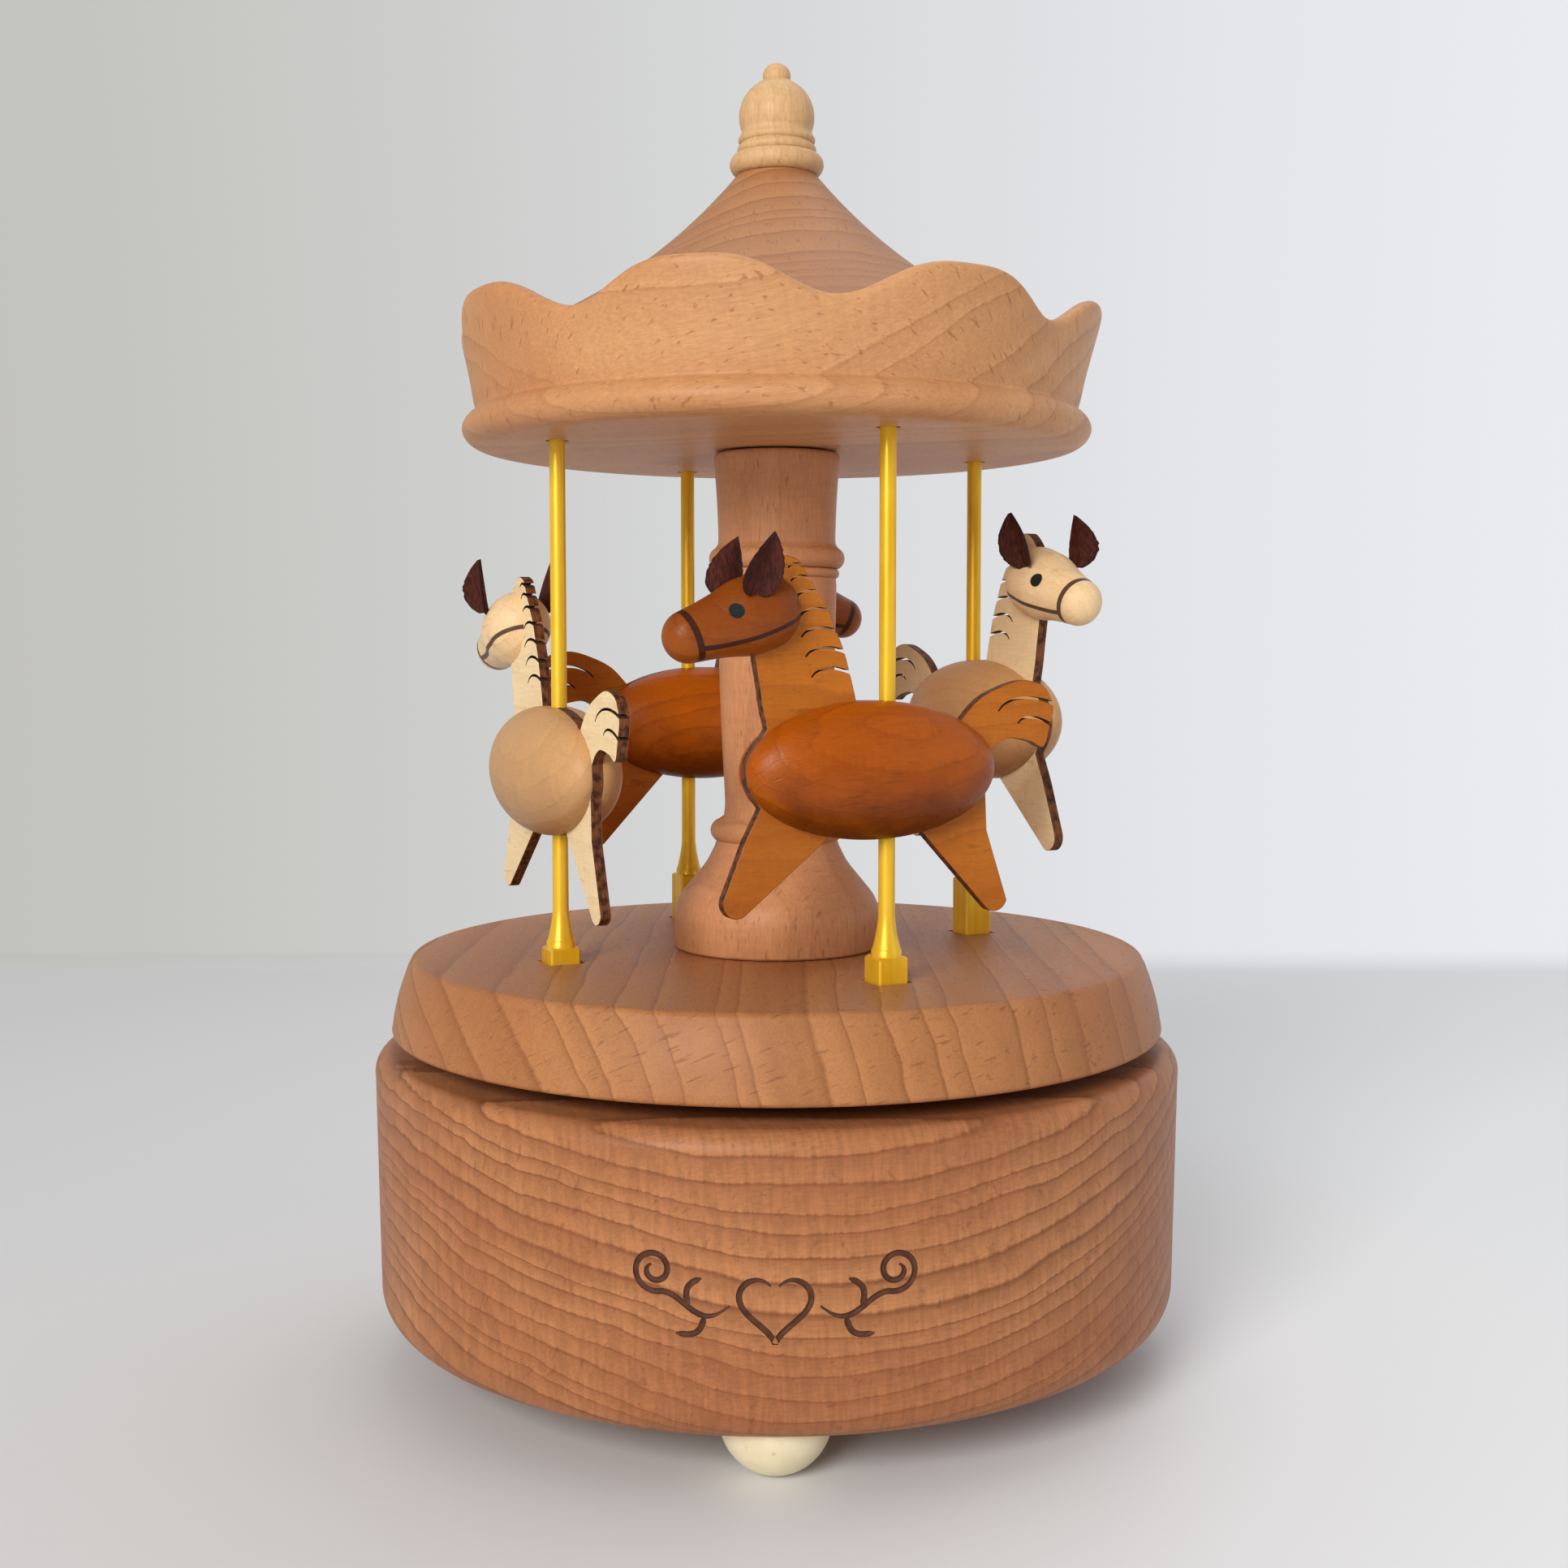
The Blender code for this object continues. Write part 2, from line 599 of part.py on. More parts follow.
def make_bedplate():
    """A plate cut to the cavity, two lugs that carry the drum's shaft and a bar that carries the comb."""
    low, _, axis_height = movement_levels()
    top = low + BEDPLATE_THICKNESS
    sunk = top - SEAT_GAP
    board = box_mesh((-BEDPLATE_BACK, -BEDPLATE_HALF, low), (CAVITY_RADIUS, BEDPLATE_HALF, top))
    plate = object_from("bedplate", board, cast_frame())
    cavity = cylinder_mesh(CAVITY_RADIUS - HOLE_PLAY, low - MM, top + MM, 40)
    combine(plate, cutter_from("cavity_bound", cavity), "INTERSECT")
    bearing = cylinder_mesh(ARBOR_RADIUS + SEAT_GAP, low - MM, top + MM, 16)
    combine(plate, cutter_from("arbor_bearing", bearing))
    for name, start, end in (
        ("near_lug", BARREL_RADIUS + SEAT_GAP, DRUM_START - SEAT_GAP - 0.1 * MM),
        ("far_lug", DRUM_START + DRUM_LENGTH + 2 * SEAT_GAP, DRUM_START + DRUM_LENGTH + LUG_REACH),
    ):
        lug = box_mesh((start, -LUG_HALF, sunk), (end, LUG_HALF, axis_height + LUG_REACH))
        combine(plate, cutter_from(name, lug), "UNION")
    seat = axis_height - COMB_THICKNESS / 2 - GLUE_GAP
    bar_end = DRUM_START + DRUM_LENGTH - 2 * MM
    bar = box_mesh((DRUM_START + MM, COMB_ROOT + 0.5 * MM, sunk), (bar_end, COMB_BACK, seat))
    combine(plate, cutter_from("comb_bar", bar), "UNION")
    bore = cylinder_mesh(SHAFT_RADIUS + SEAT_GAP, BARREL_RADIUS - MM, DRUM_START + DRUM_LENGTH + 3 * MM, 16)
    at = Matrix.Translation((0, 0, axis_height))
    combine(plate, cutter_from("shaft_bearings", moved(bore, Matrix.Rotation(TAU / 4, 4, "Y")), at))
    return top, axis_height


def make_comb():
    top, axis_height = make_bedplate()
    step = DRUM_LENGTH / (2 * NOTES + 1)
    reach = DRUM_RADIUS + PIN_HEIGHT + SEAT_GAP
    root, back = COMB_ROOT, COMB_BACK
    first = DRUM_START + step
    last = first + step * (2 * NOTES - 1)
    outline = [(first, back), (first, reach)]
    for tooth in range(NOTES):
        left = first + 2 * step * tooth
        right = left + step
        if tooth:
            outline += [(left, root), (left, reach)]
        outline += [(right, reach)]
        if tooth < NOTES - 1:
            outline += [(right, root)]
    outline += [(last, back)]
    low = axis_height - COMB_THICKNESS / 2
    comb = object_from("comb", slab_mesh(outline, low, low + COMB_THICKNESS), steel(), smooth=False)
    for number, x in enumerate((first + 2.5 * MM, last - 3.0 * MM), 1):
        place = Matrix.Translation((x, COMB_ROOT + 2.3 * MM, low))
        shank = 0.6 * MM
        head = 1.2 * MM
        over = COMB_THICKNESS + GLUE_GAP
        depth = 3 * MM
        screw = [(0, -depth), (shank, -depth), (shank, over), (head, over), (head, over + 0.8 * MM)]
        screw += [(0, over + 0.8 * MM)]
        object_from(f"comb_screw_{number}", turned_mesh(screw, 12), steel(), place)
        bore = cylinder_mesh(shank + SEAT_GAP, -depth - SEAT_GAP, COMB_THICKNESS + MM, 12)
        cutter = cutter_from(f"comb_screw_bore_{number}", bore, place)
        combine(comb, cutter)
        combine(bpy.data.objects["bedplate"], cutter)
    # The governor's closed housing stands at the drum's other side.
    foot = top + GLUE_GAP
    near, far = -DRUM_RADIUS - 2 * MM, -BEDPLATE_HALF + SEAT_GAP
    housing = box_mesh((DRUM_START + MM, far, foot), (DRUM_START + DRUM_LENGTH, near, foot + GOVERNOR_HEIGHT))
    object_from("governor_housing", housing, brass(), smooth=False)


def make_key():
    _, barrel, _ = movement_levels()
    bottom = BASE_BOTTOM - SEAT_GAP
    low = 1.4 * MM
    top = barrel + BARREL_HEIGHT - BARREL_WALL - 2 * SEAT_GAP
    arbor = cylinder_mesh(ARBOR_RADIUS, low + 2 * MM, top, 16)
    key = object_from("winding_key", arbor, brass())
    # Two round wings, cut from one strip, make the butterfly handle.
    half = KEY_WIDTH / 2
    wing = (bottom - low) / 2
    waist = 0.6 * wing
    outline = arc((half - wing, 0), wing, -125, 125, 12)
    outline += [(0, waist)]
    outline += [(-x, y) for x, y in outline[-2::-1]]
    outline += [(0, -waist)]
    strip = slab_mesh(outline, -0.7 * MM, 0.7 * MM)
    upright = Matrix.Translation((0, 0, low + wing)) @ Matrix.Rotation(TAU / 4, 4, "X")
    combine(key, cutter_from("key_wings", strip, upright), "UNION")


# Platform, column and canopy ----------------------------------------------------------------------


def make_platform():
    top_radius = PLATFORM_RADIUS - PLATFORM_TAPER
    recess = PLATFORM_RADIUS - PLATFORM_SKIRT
    crown = (top_radius - PLATFORM_ROUND, PLATFORM_TOP - PLATFORM_ROUND)
    profile = [(0, PLATFORM_TOP)] + arc(crown, PLATFORM_ROUND, 90, 20, 3)
    belly = (PLATFORM_RADIUS - 0.4 * PLATFORM_TAPER, PLATFORM_BOTTOM + 0.4 * PLATFORM_HEIGHT)
    profile += [belly, (PLATFORM_RADIUS, PLATFORM_BOTTOM + PLATFORM_ROUND)]
    profile += [(PLATFORM_RADIUS - PLATFORM_ROUND / 2, PLATFORM_BOTTOM), (recess, PLATFORM_BOTTOM)]
    profile += [(recess, PLATE_BOTTOM), (0, PLATE_BOTTOM)]
    platform = object_from("platform", turned_mesh(profile, 40), beech())
    hole = cylinder_mesh(TENON_RADIUS + SEAT_GAP, PLATE_BOTTOM - MM, PLATFORM_TOP + MM, 20)
    combine(platform, cutter_from("column_hole", hole))
    half = BLOCK_SIDE / 2 + HOLE_PLAY
    for number in range(1, HORSES + 1):
        angle = pole_angle(number)
        at = Matrix.Rotation(angle, 4, "Z") @ Matrix.Translation((POLE_CIRCLE, 0, 0))
        square = box_mesh((-half, -half, PLATE_BOTTOM - MM), (half, half, PLATFORM_TOP + MM))
        combine(platform, cutter_from(f"block_hole_{number}", square, at))


def column_profile():
    foot = PLATFORM_TOP + GLUE_GAP
    top = foot + COLUMN_HEIGHT
    rise = COLUMN_HEIGHT
    neck = COLUMN_NECK_RADIUS
    swell = COLUMN_TOP_RADIUS - neck
    profile = [(0, foot - TENON_LENGTH), (TENON_RADIUS, foot - TENON_LENGTH), (TENON_RADIUS, foot)]
    profile += [(COLUMN_FOOT_RADIUS, foot), (COLUMN_FOOT_RADIUS, foot + 0.065 * rise)]
    profile += [(COLUMN_FOOT_RADIUS - 0.7 * MM, foot + 0.107 * rise), (neck + 1.2 * MM, foot + 0.207 * rise)]
    low_bead = 1.7 * MM
    profile += arc((neck + 0.4 * MM, foot + 0.237 * rise), low_bead, -60, 75, 4)
    profile += [(neck, foot + 0.275 * rise), (neck + 0.45 * swell, foot + 0.5 * rise)]
    high_bead = 2.0 * MM
    beside = neck + 0.7 * swell
    profile += [(beside, foot + 0.785 * rise - high_bead)]
    profile += arc((COLUMN_BEAD_RADIUS - high_bead, foot + 0.785 * rise), high_bead, -60, 60, 4)
    profile += [(beside, foot + 0.785 * rise + high_bead), (COLUMN_TOP_RADIUS, top)]
    profile += [(TENON_RADIUS, top), (TENON_RADIUS, top + TENON_LENGTH), (0, top + TENON_LENGTH)]
    return profile


def canopy_profile():
    """Points of (radius, height, share of the scallop's rise), from the underside to the inside."""
    low = CANOPY_BOTTOM
    out = CANOPY_RADIUS
    groove = out - 1.7 * MM
    bead = CANOPY_BEAD
    valley = low + CANOPY_VALLEY
    inside = out - CANOPY_WALL - 1.4 * MM
    return [
        (0, low, 0),
        (out - 2.6 * MM, low, 0),
        (out - 0.7 * MM, low + 0.18 * bead, 0),
        (out, low + 0.5 * bead, 0),
        (out - 0.4 * MM, low + 0.8 * bead, 0),
        (groove, low + 1.1 * bead, 0),
        (groove + 0.4 * MM, low + 0.5 * CANOPY_VALLEY, 0.1),
        (out - 0.6 * MM, valley - 2.6 * MM, 0.75),
        (out - 0.5 * MM, valley - 0.8 * MM, 1),
        (out - 1.6 * MM, valley, 1),
        (out - 3.0 * MM, valley - 0.6 * MM, 1),
        (out - CANOPY_WALL, valley - 2.4 * MM, 0.8),
        (inside, CANOPY_INSIDE, 0),
        (0, CANOPY_INSIDE, 0),
    ]


def scallop(angle):
    """From 0 in a valley to 1 on a scallop, with the scallops broader than the valleys."""
    return 1 - abs(math.sin(SCALLOPS * (angle - SCALLOP_PHASE) / 2)) ** 3


def make_canopy():
    points = canopy_profile()

    def scalloped(index, angle):
        radius, height, share = points[index]
        rise = share * scallop(angle)
        return radius + SCALLOP_FLARE * rise, height + SCALLOP_HEIGHT * rise

    bowl = turned_mesh([(r, z) for r, z, _ in points], 6 * SCALLOPS, scalloped)
    canopy = object_from("canopy", bowl, beech())
    low = CANOPY_BOTTOM - MM
    high = CANOPY_INSIDE + MM
    holes = cylinder_mesh(TENON_RADIUS + SEAT_GAP, low, high, 20)
    for number in range(1, HORSES + 1):
        angle = pole_angle(number)
        at = Matrix.Translation((POLE_CIRCLE * math.cos(angle), POLE_CIRCLE * math.sin(angle), 0))
        holes = merged(holes, moved(cylinder_mesh(POLE_RADIUS + HOLE_PLAY, low, high, 14), at))
    combine(canopy, cutter_from("canopy_holes", holes))


def cone_base():
    """Height of the roof cone's rim and its radius, just inside the bowl."""
    radius = CANOPY_RADIUS - CANOPY_WALL - 1.4 * MM
    return CANOPY_BOTTOM + CANOPY_VALLEY - CONE_EDGE - 0.6 * MM, radius - 0.1 * MM


def make_roof():
    low, out = cone_base()
    rim = low + CONE_EDGE
    rise = CONE_HEIGHT - (rim - low)
    span = out - CONE_TOP_RADIUS
    # The flare runs from the rim up to the finial and steepens on the way.
    flare = []
    for t in np.linspace(0, 1, 9):
        flare.append((out - span * t, rim + rise * (0.7 * t + 0.3 * t**3)))
    tenon = 2.0 * MM
    room = tenon + SEAT_GAP
    top = rim + rise
    profile = [(0, low), (out, low)] + flare
    profile += [(room, top), (room, top - FINIAL_TENON - SEAT_GAP), (0, top - FINIAL_TENON - SEAT_GAP)]
    object_from("roof_cone", turned_mesh(profile, 28), beech())
    foot = top + GLUE_GAP
    scale = FINIAL_HEIGHT
    wide = FINIAL_RADIUS
    profile = [(0, foot - FINIAL_TENON), (tenon, foot - FINIAL_TENON), (tenon, foot), (0.90 * wide, foot)]
    profile += arc((wide - 0.09 * scale, foot + 0.09 * scale), 0.09 * scale, -60, 70, 3)
    profile += [(0.79 * wide, foot + 0.20 * scale)]
    profile += arc((0.76 * wide, foot + 0.255 * scale), 0.045 * scale, -70, 70, 2)
    profile += [(0.74 * wide, foot + 0.315 * scale)]
    profile += arc((0, foot + 0.54 * scale), 0.80 * wide, -36, 66, 6)
    profile += [(0.27 * wide, foot + 0.845 * scale)]
    knob = 0.285 * wide
    profile += arc((0, foot + scale - knob), knob, -20, 90, 4)[:-1]
    profile += [(0, foot + scale)]
    object_from("finial", turned_mesh(profile, 14), pale_wood())


def make_column():
    object_from("column", turned_mesh(column_profile(), 18), beech())


# Horses -------------------------------------------------------------------------------------------


def horse_frame(number):
    """Frame at a horse's pole and body height: X forwards, Y to its left, Z up. The horses follow each
    other clockwise, seen from above, so a horse's left side faces outwards."""
    angle = pole_angle(number)
    centre = foot_ball_centre(number)
    centre.z = BODY_CENTRE + pole_lift(number)
    forwards = Vector((math.sin(angle), -math.cos(angle), 0))
    left = Vector((math.cos(angle), math.sin(angle), 0))
    turn = Matrix((forwards, left, Vector((0, 0, 1)))).transposed().to_4x4()
    return Matrix.Translation(centre) @ turn


def on_body(angle):
    """A point on the body's edge in the plane of the plywood, the angle in degrees from the front."""
    a = math.radians(angle)
    return BODY_FORWARD + BODY_LENGTH / 2 * math.cos(a), BODY_HEIGHT / 2 * math.sin(a)


def profile_outline():
    """The plywood's outline: neck, chest, legs and tail round the body's own edge."""
    front, back = BODY_FORWARD + BODY_LENGTH / 2, BODY_FORWARD - BODY_LENGTH / 2
    half = BODY_HEIGHT / 2
    outline = [on_body(36), (front - 2.0 * MM, half + 1.3 * MM), (front - 1.2 * MM, half + 5.7 * MM)]
    outline += [(front - 0.9 * MM, half + 11.0 * MM)]
    crest = [(front - 5.2 * MM, half + 17.8 * MM), (front - 8.3 * MM, half + 15.6 * MM)]
    crest += [(front - 11.2 * MM, half + 11.2 * MM), (front - 13.4 * MM, half + 6.2 * MM)]
    crest += [(front - 14.9 * MM, half + 0.2 * MM)]
    outline += curve(crest, 3)
    outline += [on_body(angle) for angle in (95, 112, 128)]
    tail = [(back + 4.4 * MM, half - 2.8 * MM), (back + 1.8 * MM, half), (back - 3.0 * MM, half + 2.2 * MM)]
    tail += [(back - 7.2 * MM, half + 1.8 * MM), (back - 9.3 * MM, half - 1.2 * MM)]
    tail += [(back - 8.8 * MM, half - 5.6 * MM), (back - 8.0 * MM, half - 6.6 * MM)]
    tail += [(back - 6.0 * MM, half - 5.4 * MM), (back - 3.0 * MM, half - 5.0 * MM)]
    tail += [(back - 0.4 * MM, 0.15 * half)]
    outline += curve(tail, 2)
    outline += [on_body(angle) for angle in (190, 202)]
    hoof = 1.9 * MM
    outline += [(back + 1.1 * MM, -half + 2.4 * MM)]
    outline += arc((back - 0.7 * MM, -half - 8.3 * MM), hoof, 190, 315, 4)
    outline += [on_body(angle) for angle in (247, 262, 278, 288)]
    outline += arc((front + 0.9 * MM, -half - 7.0 * MM), hoof, 232, 375, 4)
    outline += [(front - 2.3 * MM, -half + 4.7 * MM)]
    outline += [on_body(angle) for angle in (-18, 0, 18)]
    return outline


def make_profile(number, frame):
    finish = stained_wood() if number % 2 else plywood()
    board = slab_mesh(profile_outline(), -PLY / 2, PLY / 2)
    upright = frame @ Matrix.Rotation(TAU / 4, 4, "X")
    profile = object_from(f"horse_{number}_profile", board, finish, upright)
    combine(profile, pole_bores(number, frame))


def pole_bores(number, frame):
    """Both blind bores in the body, for the pole above and for the pole foot below."""
    name = f"pole_bores_{number}"
    found = bpy.data.objects.get(name)
    if found:
        return found
    radius = POLE_RADIUS + SEAT_GAP / 2
    half = BODY_HEIGHT / 2
    depth = half - POLE_INSERT - SEAT_GAP
    above = cylinder_mesh(radius, depth, 2 * half, 12)
    below = cylinder_mesh(radius, -2 * half, -depth, 12)
    return cutter_from(name, merged(above, below), frame)


def make_flanks(number, frame):
    """Half of an egg on each side of the plywood."""
    finish = stained_wood() if number % 2 else pale_wood()
    start = PLY / 2 + GLUE_GAP
    swell = BODY_WIDTH / 2 - start
    for name, side in (("outer", 1), ("inner", -1)):
        dome = [(0, 0)] + arc((0, 0), 1, 0, 90, 4)
        dome[-1] = (0, 1)
        bm = turned_mesh(dome, 18)
        size = Matrix.Diagonal((BODY_LENGTH / 2, BODY_HEIGHT / 2, swell, 1))
        to_side = Matrix.Rotation(-side * TAU / 4, 4, "X")
        place = Matrix.Translation((BODY_FORWARD, side * start, 0)) @ to_side
        moved(bm, size)
        flank = object_from(f"horse_{number}_flank_{name}", bm, finish, frame @ place)
        combine(flank, pole_bores(number, frame))


def head_place():
    """Centre of the head's big round end in the horse's frame."""
    front = BODY_FORWARD + BODY_LENGTH / 2
    return Matrix.Translation((front - HEAD_BACK, 0, BODY_HEIGHT / 2 + HEAD_ABOVE))


def head_frame(frame):
    """Frame of the head: its X runs from the back of the head to the muzzle."""
    return frame @ head_place() @ Matrix.Rotation(HEAD_DROOP, 4, "Y")


def head_profile():
    """Turned about the head's own axis: the big round end, a taper and the small round muzzle."""
    reach = HEAD_REACH
    points = arc((0, 0), HEAD_RADIUS, 180, 70, 4)
    points += [(0.52 * reach, 0.86 * HEAD_RADIUS), (0.78 * reach, 0.5 * (0.72 * HEAD_RADIUS + MUZZLE_RADIUS))]
    points += arc((reach, 0), MUZZLE_RADIUS, 80, 0, 3)
    points[0] = (-HEAD_RADIUS, 0)
    points[-1] = (reach + MUZZLE_RADIUS, 0)
    return [(r, x) for x, r in points]


def make_head(number, frame):
    finish = stained_wood() if number % 2 else pale_wood()
    along = Matrix.Rotation(TAU / 4, 4, "Y")
    place = head_frame(frame)
    head = object_from(f"horse_{number}_head", turned_mesh(head_profile(), 14), finish, place @ along)
    # The saw cut that takes the neck ends just ahead of the neck's front edge.
    front = BODY_FORWARD + BODY_LENGTH / 2
    half = PLY / 2 + GLUE_GAP
    tall = BODY_HEIGHT
    slot = box_mesh((front - 9 * HEAD_RADIUS, -half, 0), (front - 0.5 * MM, half, 2 * tall))
    combine(head, cutter_from(f"head_slot_{number}", slot, frame))


def ear_mesh():
    """A cupped leaf: a grid whose width swells and then runs to a point, bent about its length."""
    along, across = 6, 4
    bm = bmesh.new()
    sheets = []
    for depth in (-EAR_THICKNESS / 2, EAR_THICKNESS / 2):
        rows = []
        for i in range(along + 1):
            t = i / along
            width = EAR_WIDTH / 2 * (0.42 + 0.58 * math.sin(math.pi * min(1, 1.25 * t + 0.12))) * (1 - t**3)
            width = max(width, 0.25 * MM)
            row = []
            for j in range(across + 1):
                s = 2 * j / across - 1
                cup = 0.22 * EAR_WIDTH * s * s * (width / (EAR_WIDTH / 2))
                row.append(bm.verts.new((width * s, depth + cup, EAR_LENGTH * t)))
            rows.append(row)
        sheets.append(rows)
    back, front = sheets
    for i in range(along):
        for j in range(across):
            bm.faces.new((back[i][j], back[i][j + 1], back[i + 1][j + 1], back[i + 1][j]))
            bm.faces.new((front[i][j], front[i + 1][j], front[i + 1][j + 1], front[i][j + 1]))
        for j in (0, across):
            bm.faces.new((back[i][j], back[i + 1][j], front[i + 1][j], front[i][j]))
    for i in (0, along):
        for j in range(across):
            bm.faces.new((back[i][j], back[i][j + 1], front[i][j + 1], front[i][j]))
    return bm


def make_ears(number, frame):
    for name, side in (("outer", 1), ("inner", -1)):
        beside = side * (HEAD_RADIUS + EAR_THICKNESS / 2 + GLUE_GAP)
        foot = Matrix.Translation((EAR_FORWARD, beside, EAR_ABOVE))
        lean = Matrix.Rotation(-side * EAR_SPLAY, 4, "X") @ Matrix.Rotation(-EAR_LEAN, 4, "Y")
        turn = Matrix.Rotation(math.pi if side < 0 else 0, 4, "Z")
        place = frame @ head_place() @ foot @ lean @ turn
        object_from(f"horse_{number}_ear_{name}", ear_mesh(), leather(), place)


def make_pole(number, frame):
    half = BODY_HEIGHT / 2
    start = half - POLE_INSERT
    length = POLE_TOP - BODY_CENTRE
    object_from(f"horse_{number}_pole", cylinder_mesh(POLE_RADIUS, start, length, 12), gold_plastic(), frame)
    # The foot: a square block, a flare on it and a shaft that enters the body from below.
    block_top = -BODY_ABOVE_BLOCK
    flare_top = block_top + FLARE_HEIGHT
    shaft = [(0, block_top - MM), (FLARE_RADIUS, block_top - MM), (FLARE_RADIUS, block_top)]
    flare = [(FLARE_RADIUS, block_top), (1.25 * POLE_RADIUS, flare_top - MM), (POLE_RADIUS, flare_top)]
    shaft += curve(flare, 2)[1:]
    shaft += [(POLE_RADIUS, -half + POLE_INSERT), (0, -half + POLE_INSERT)]
    foot = object_from(f"horse_{number}_pole_foot", turned_mesh(shaft, 12), gold_plastic(), frame)
    side = BLOCK_SIDE / 2
    block = box_mesh((-side, -side, block_top - BLOCK_LENGTH), (side, side, block_top))
    combine(foot, cutter_from(f"foot_block_{number}", block, frame), "UNION")


def make_horses():
    for number in range(1, HORSES + 1):
        frame = horse_frame(number)
        make_profile(number, frame)
        make_flanks(number, frame)
        make_head(number, frame)
        make_ears(number, frame)
        make_pole(number, frame)


clear_scene()
make_base()
make_cover()
make_lifting_gear()
make_barrel()
make_drum()
make_comb()
make_key()
make_platform()
make_column()
make_canopy()
make_roof()
make_horses()
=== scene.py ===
import json
import math
import bmesh
import bpy
import numpy as np
from mathutils import Matrix, Vector


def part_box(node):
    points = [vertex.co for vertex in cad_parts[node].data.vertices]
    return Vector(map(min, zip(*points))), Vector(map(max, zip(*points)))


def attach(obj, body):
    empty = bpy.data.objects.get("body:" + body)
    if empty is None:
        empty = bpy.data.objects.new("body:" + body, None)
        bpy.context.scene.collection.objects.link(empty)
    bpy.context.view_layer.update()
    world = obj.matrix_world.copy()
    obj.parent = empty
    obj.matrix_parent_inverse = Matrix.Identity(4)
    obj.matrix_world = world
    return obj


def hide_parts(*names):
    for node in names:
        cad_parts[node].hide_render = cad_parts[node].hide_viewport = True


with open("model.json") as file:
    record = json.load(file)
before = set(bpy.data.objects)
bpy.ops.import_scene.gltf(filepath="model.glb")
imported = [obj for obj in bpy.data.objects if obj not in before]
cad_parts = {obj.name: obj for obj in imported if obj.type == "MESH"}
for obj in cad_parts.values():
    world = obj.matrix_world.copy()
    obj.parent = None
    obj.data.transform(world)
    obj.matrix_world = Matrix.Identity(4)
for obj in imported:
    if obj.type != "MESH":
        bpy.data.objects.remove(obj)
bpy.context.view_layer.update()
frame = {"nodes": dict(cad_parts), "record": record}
mm = 0.001
tau = 2 * math.pi


# camera, light and floor

view = {"place": (0.001, -0.266, 0.098), "pitch": 3.9, "lens": 43.32, "sensor": 36.0}
lamps = {
    "window": {"place": (-0.4, -0.92, 0.5), "size": 0.5, "power": 9.4, "colour": (1.0, 0.985, 0.95)},
    "fill": {"place": (0.85, -0.35, 0.4), "size": 0.6, "power": 0.6, "colour": (0.97, 0.98, 1.0)},
    "above": {"place": (0.1, 0.3, 1.0), "size": 0.7, "power": 1.5, "colour": (1.0, 1.0, 1.0)},
}
surround = {
    "left": (0.52, 0.515, 0.485), "right": (0.83, 0.845, 0.885), "room": (0.34, 0.33, 0.32), "edge": 0.33,
    "span": (-0.55, 0.5), "floorShadedLeft": (0.67, 0.675, 0.69), "floorLitRight": (0.86, 0.88, 0.91),
}


def makeCamera():
    camera = bpy.data.objects.new("camera", bpy.data.cameras.new("camera"))
    camera.data.sensor_width = view["sensor"]
    camera.data.lens = view["lens"]
    camera.data.clip_start = 0.01
    camera.location = view["place"]
    camera.rotation_euler = (math.radians(90 - view["pitch"]), 0, 0)
    bpy.context.scene.collection.objects.link(camera)
    bpy.context.scene.camera = camera


def makeLamps():
    for name, lamp in lamps.items():
        light = bpy.data.lights.new(name, "AREA")
        light.shape = "DISK"
        light.size = lamp["size"]
        light.energy = lamp["power"]
        light.color = lamp["colour"]
        holder = bpy.data.objects.new(name, light)
        holder.location = lamp["place"]
        aim = Vector((0, 0, 0.09)) - Vector(lamp["place"])
        holder.rotation_euler = aim.to_track_quat("-Z", "Y").to_euler()
        bpy.context.scene.collection.objects.link(holder)
    world = bpy.data.worlds.new("studio")
    world.use_nodes = True
    tree = world.node_tree
    direction = addNode(tree, "ShaderNodeTexCoord").outputs["Generated"]
    across, ahead = partsOf(tree, direction)[:2]
    share = stepBetween(tree, across, *surround["span"])
    glow = mixed(tree, share, (*surround["left"], 1), (*surround["right"], 1))
    glow = mixed(tree, stepBetween(tree, ahead, -0.3, 0.6), (*surround["room"], 1), glow)
    tree.links.new(glow, tree.nodes["Background"].inputs["Color"])
    bpy.context.scene.world = world
    bpy.context.scene.view_settings.view_transform = "Standard"


# node helpers

def fill(tree, node, inputs):
    for key, value in inputs.items():
        if isinstance(value, bpy.types.NodeSocket):
            tree.links.new(value, node.inputs[key])
        else:
            node.inputs[key].default_value = value


def addNode(tree, kind, inputs=None, **settings):
    node = tree.nodes.new(kind)
    for key, value in settings.items():
        setattr(node, key, value)
    fill(tree, node, inputs or {})
    return node


def calc(tree, operation, *values):
    return addNode(tree, "ShaderNodeMath", dict(enumerate(values)), operation=operation).outputs[0]


def times(tree, first, second):
    return calc(tree, "MULTIPLY", first, second)


def plus(tree, first, second):
    return calc(tree, "ADD", first, second)


def minus(tree, first, second):
    return calc(tree, "SUBTRACT", first, second)


def distance(tree, first, second):
    return calc(tree, "SQRT", plus(tree, times(tree, first, first), times(tree, second, second)))


def partsOf(tree, vector):
    return addNode(tree, "ShaderNodeSeparateXYZ", {0: vector}).outputs


def objectPlace(tree):
    return addNode(tree, "ShaderNodeTexCoord").outputs["Object"]


def scaled(tree, vector, factors):
    return addNode(tree, "ShaderNodeVectorMath", {0: vector, 1: factors}, operation="MULTIPLY").outputs[0]


def noiseAt(tree, vector, detail=2.0, roughness=0.5):
    inputs = {"Vector": vector, "Scale": 1.0, "Detail": detail, "Roughness": roughness}
    return addNode(tree, "ShaderNodeTexNoise", inputs).outputs["Fac"]


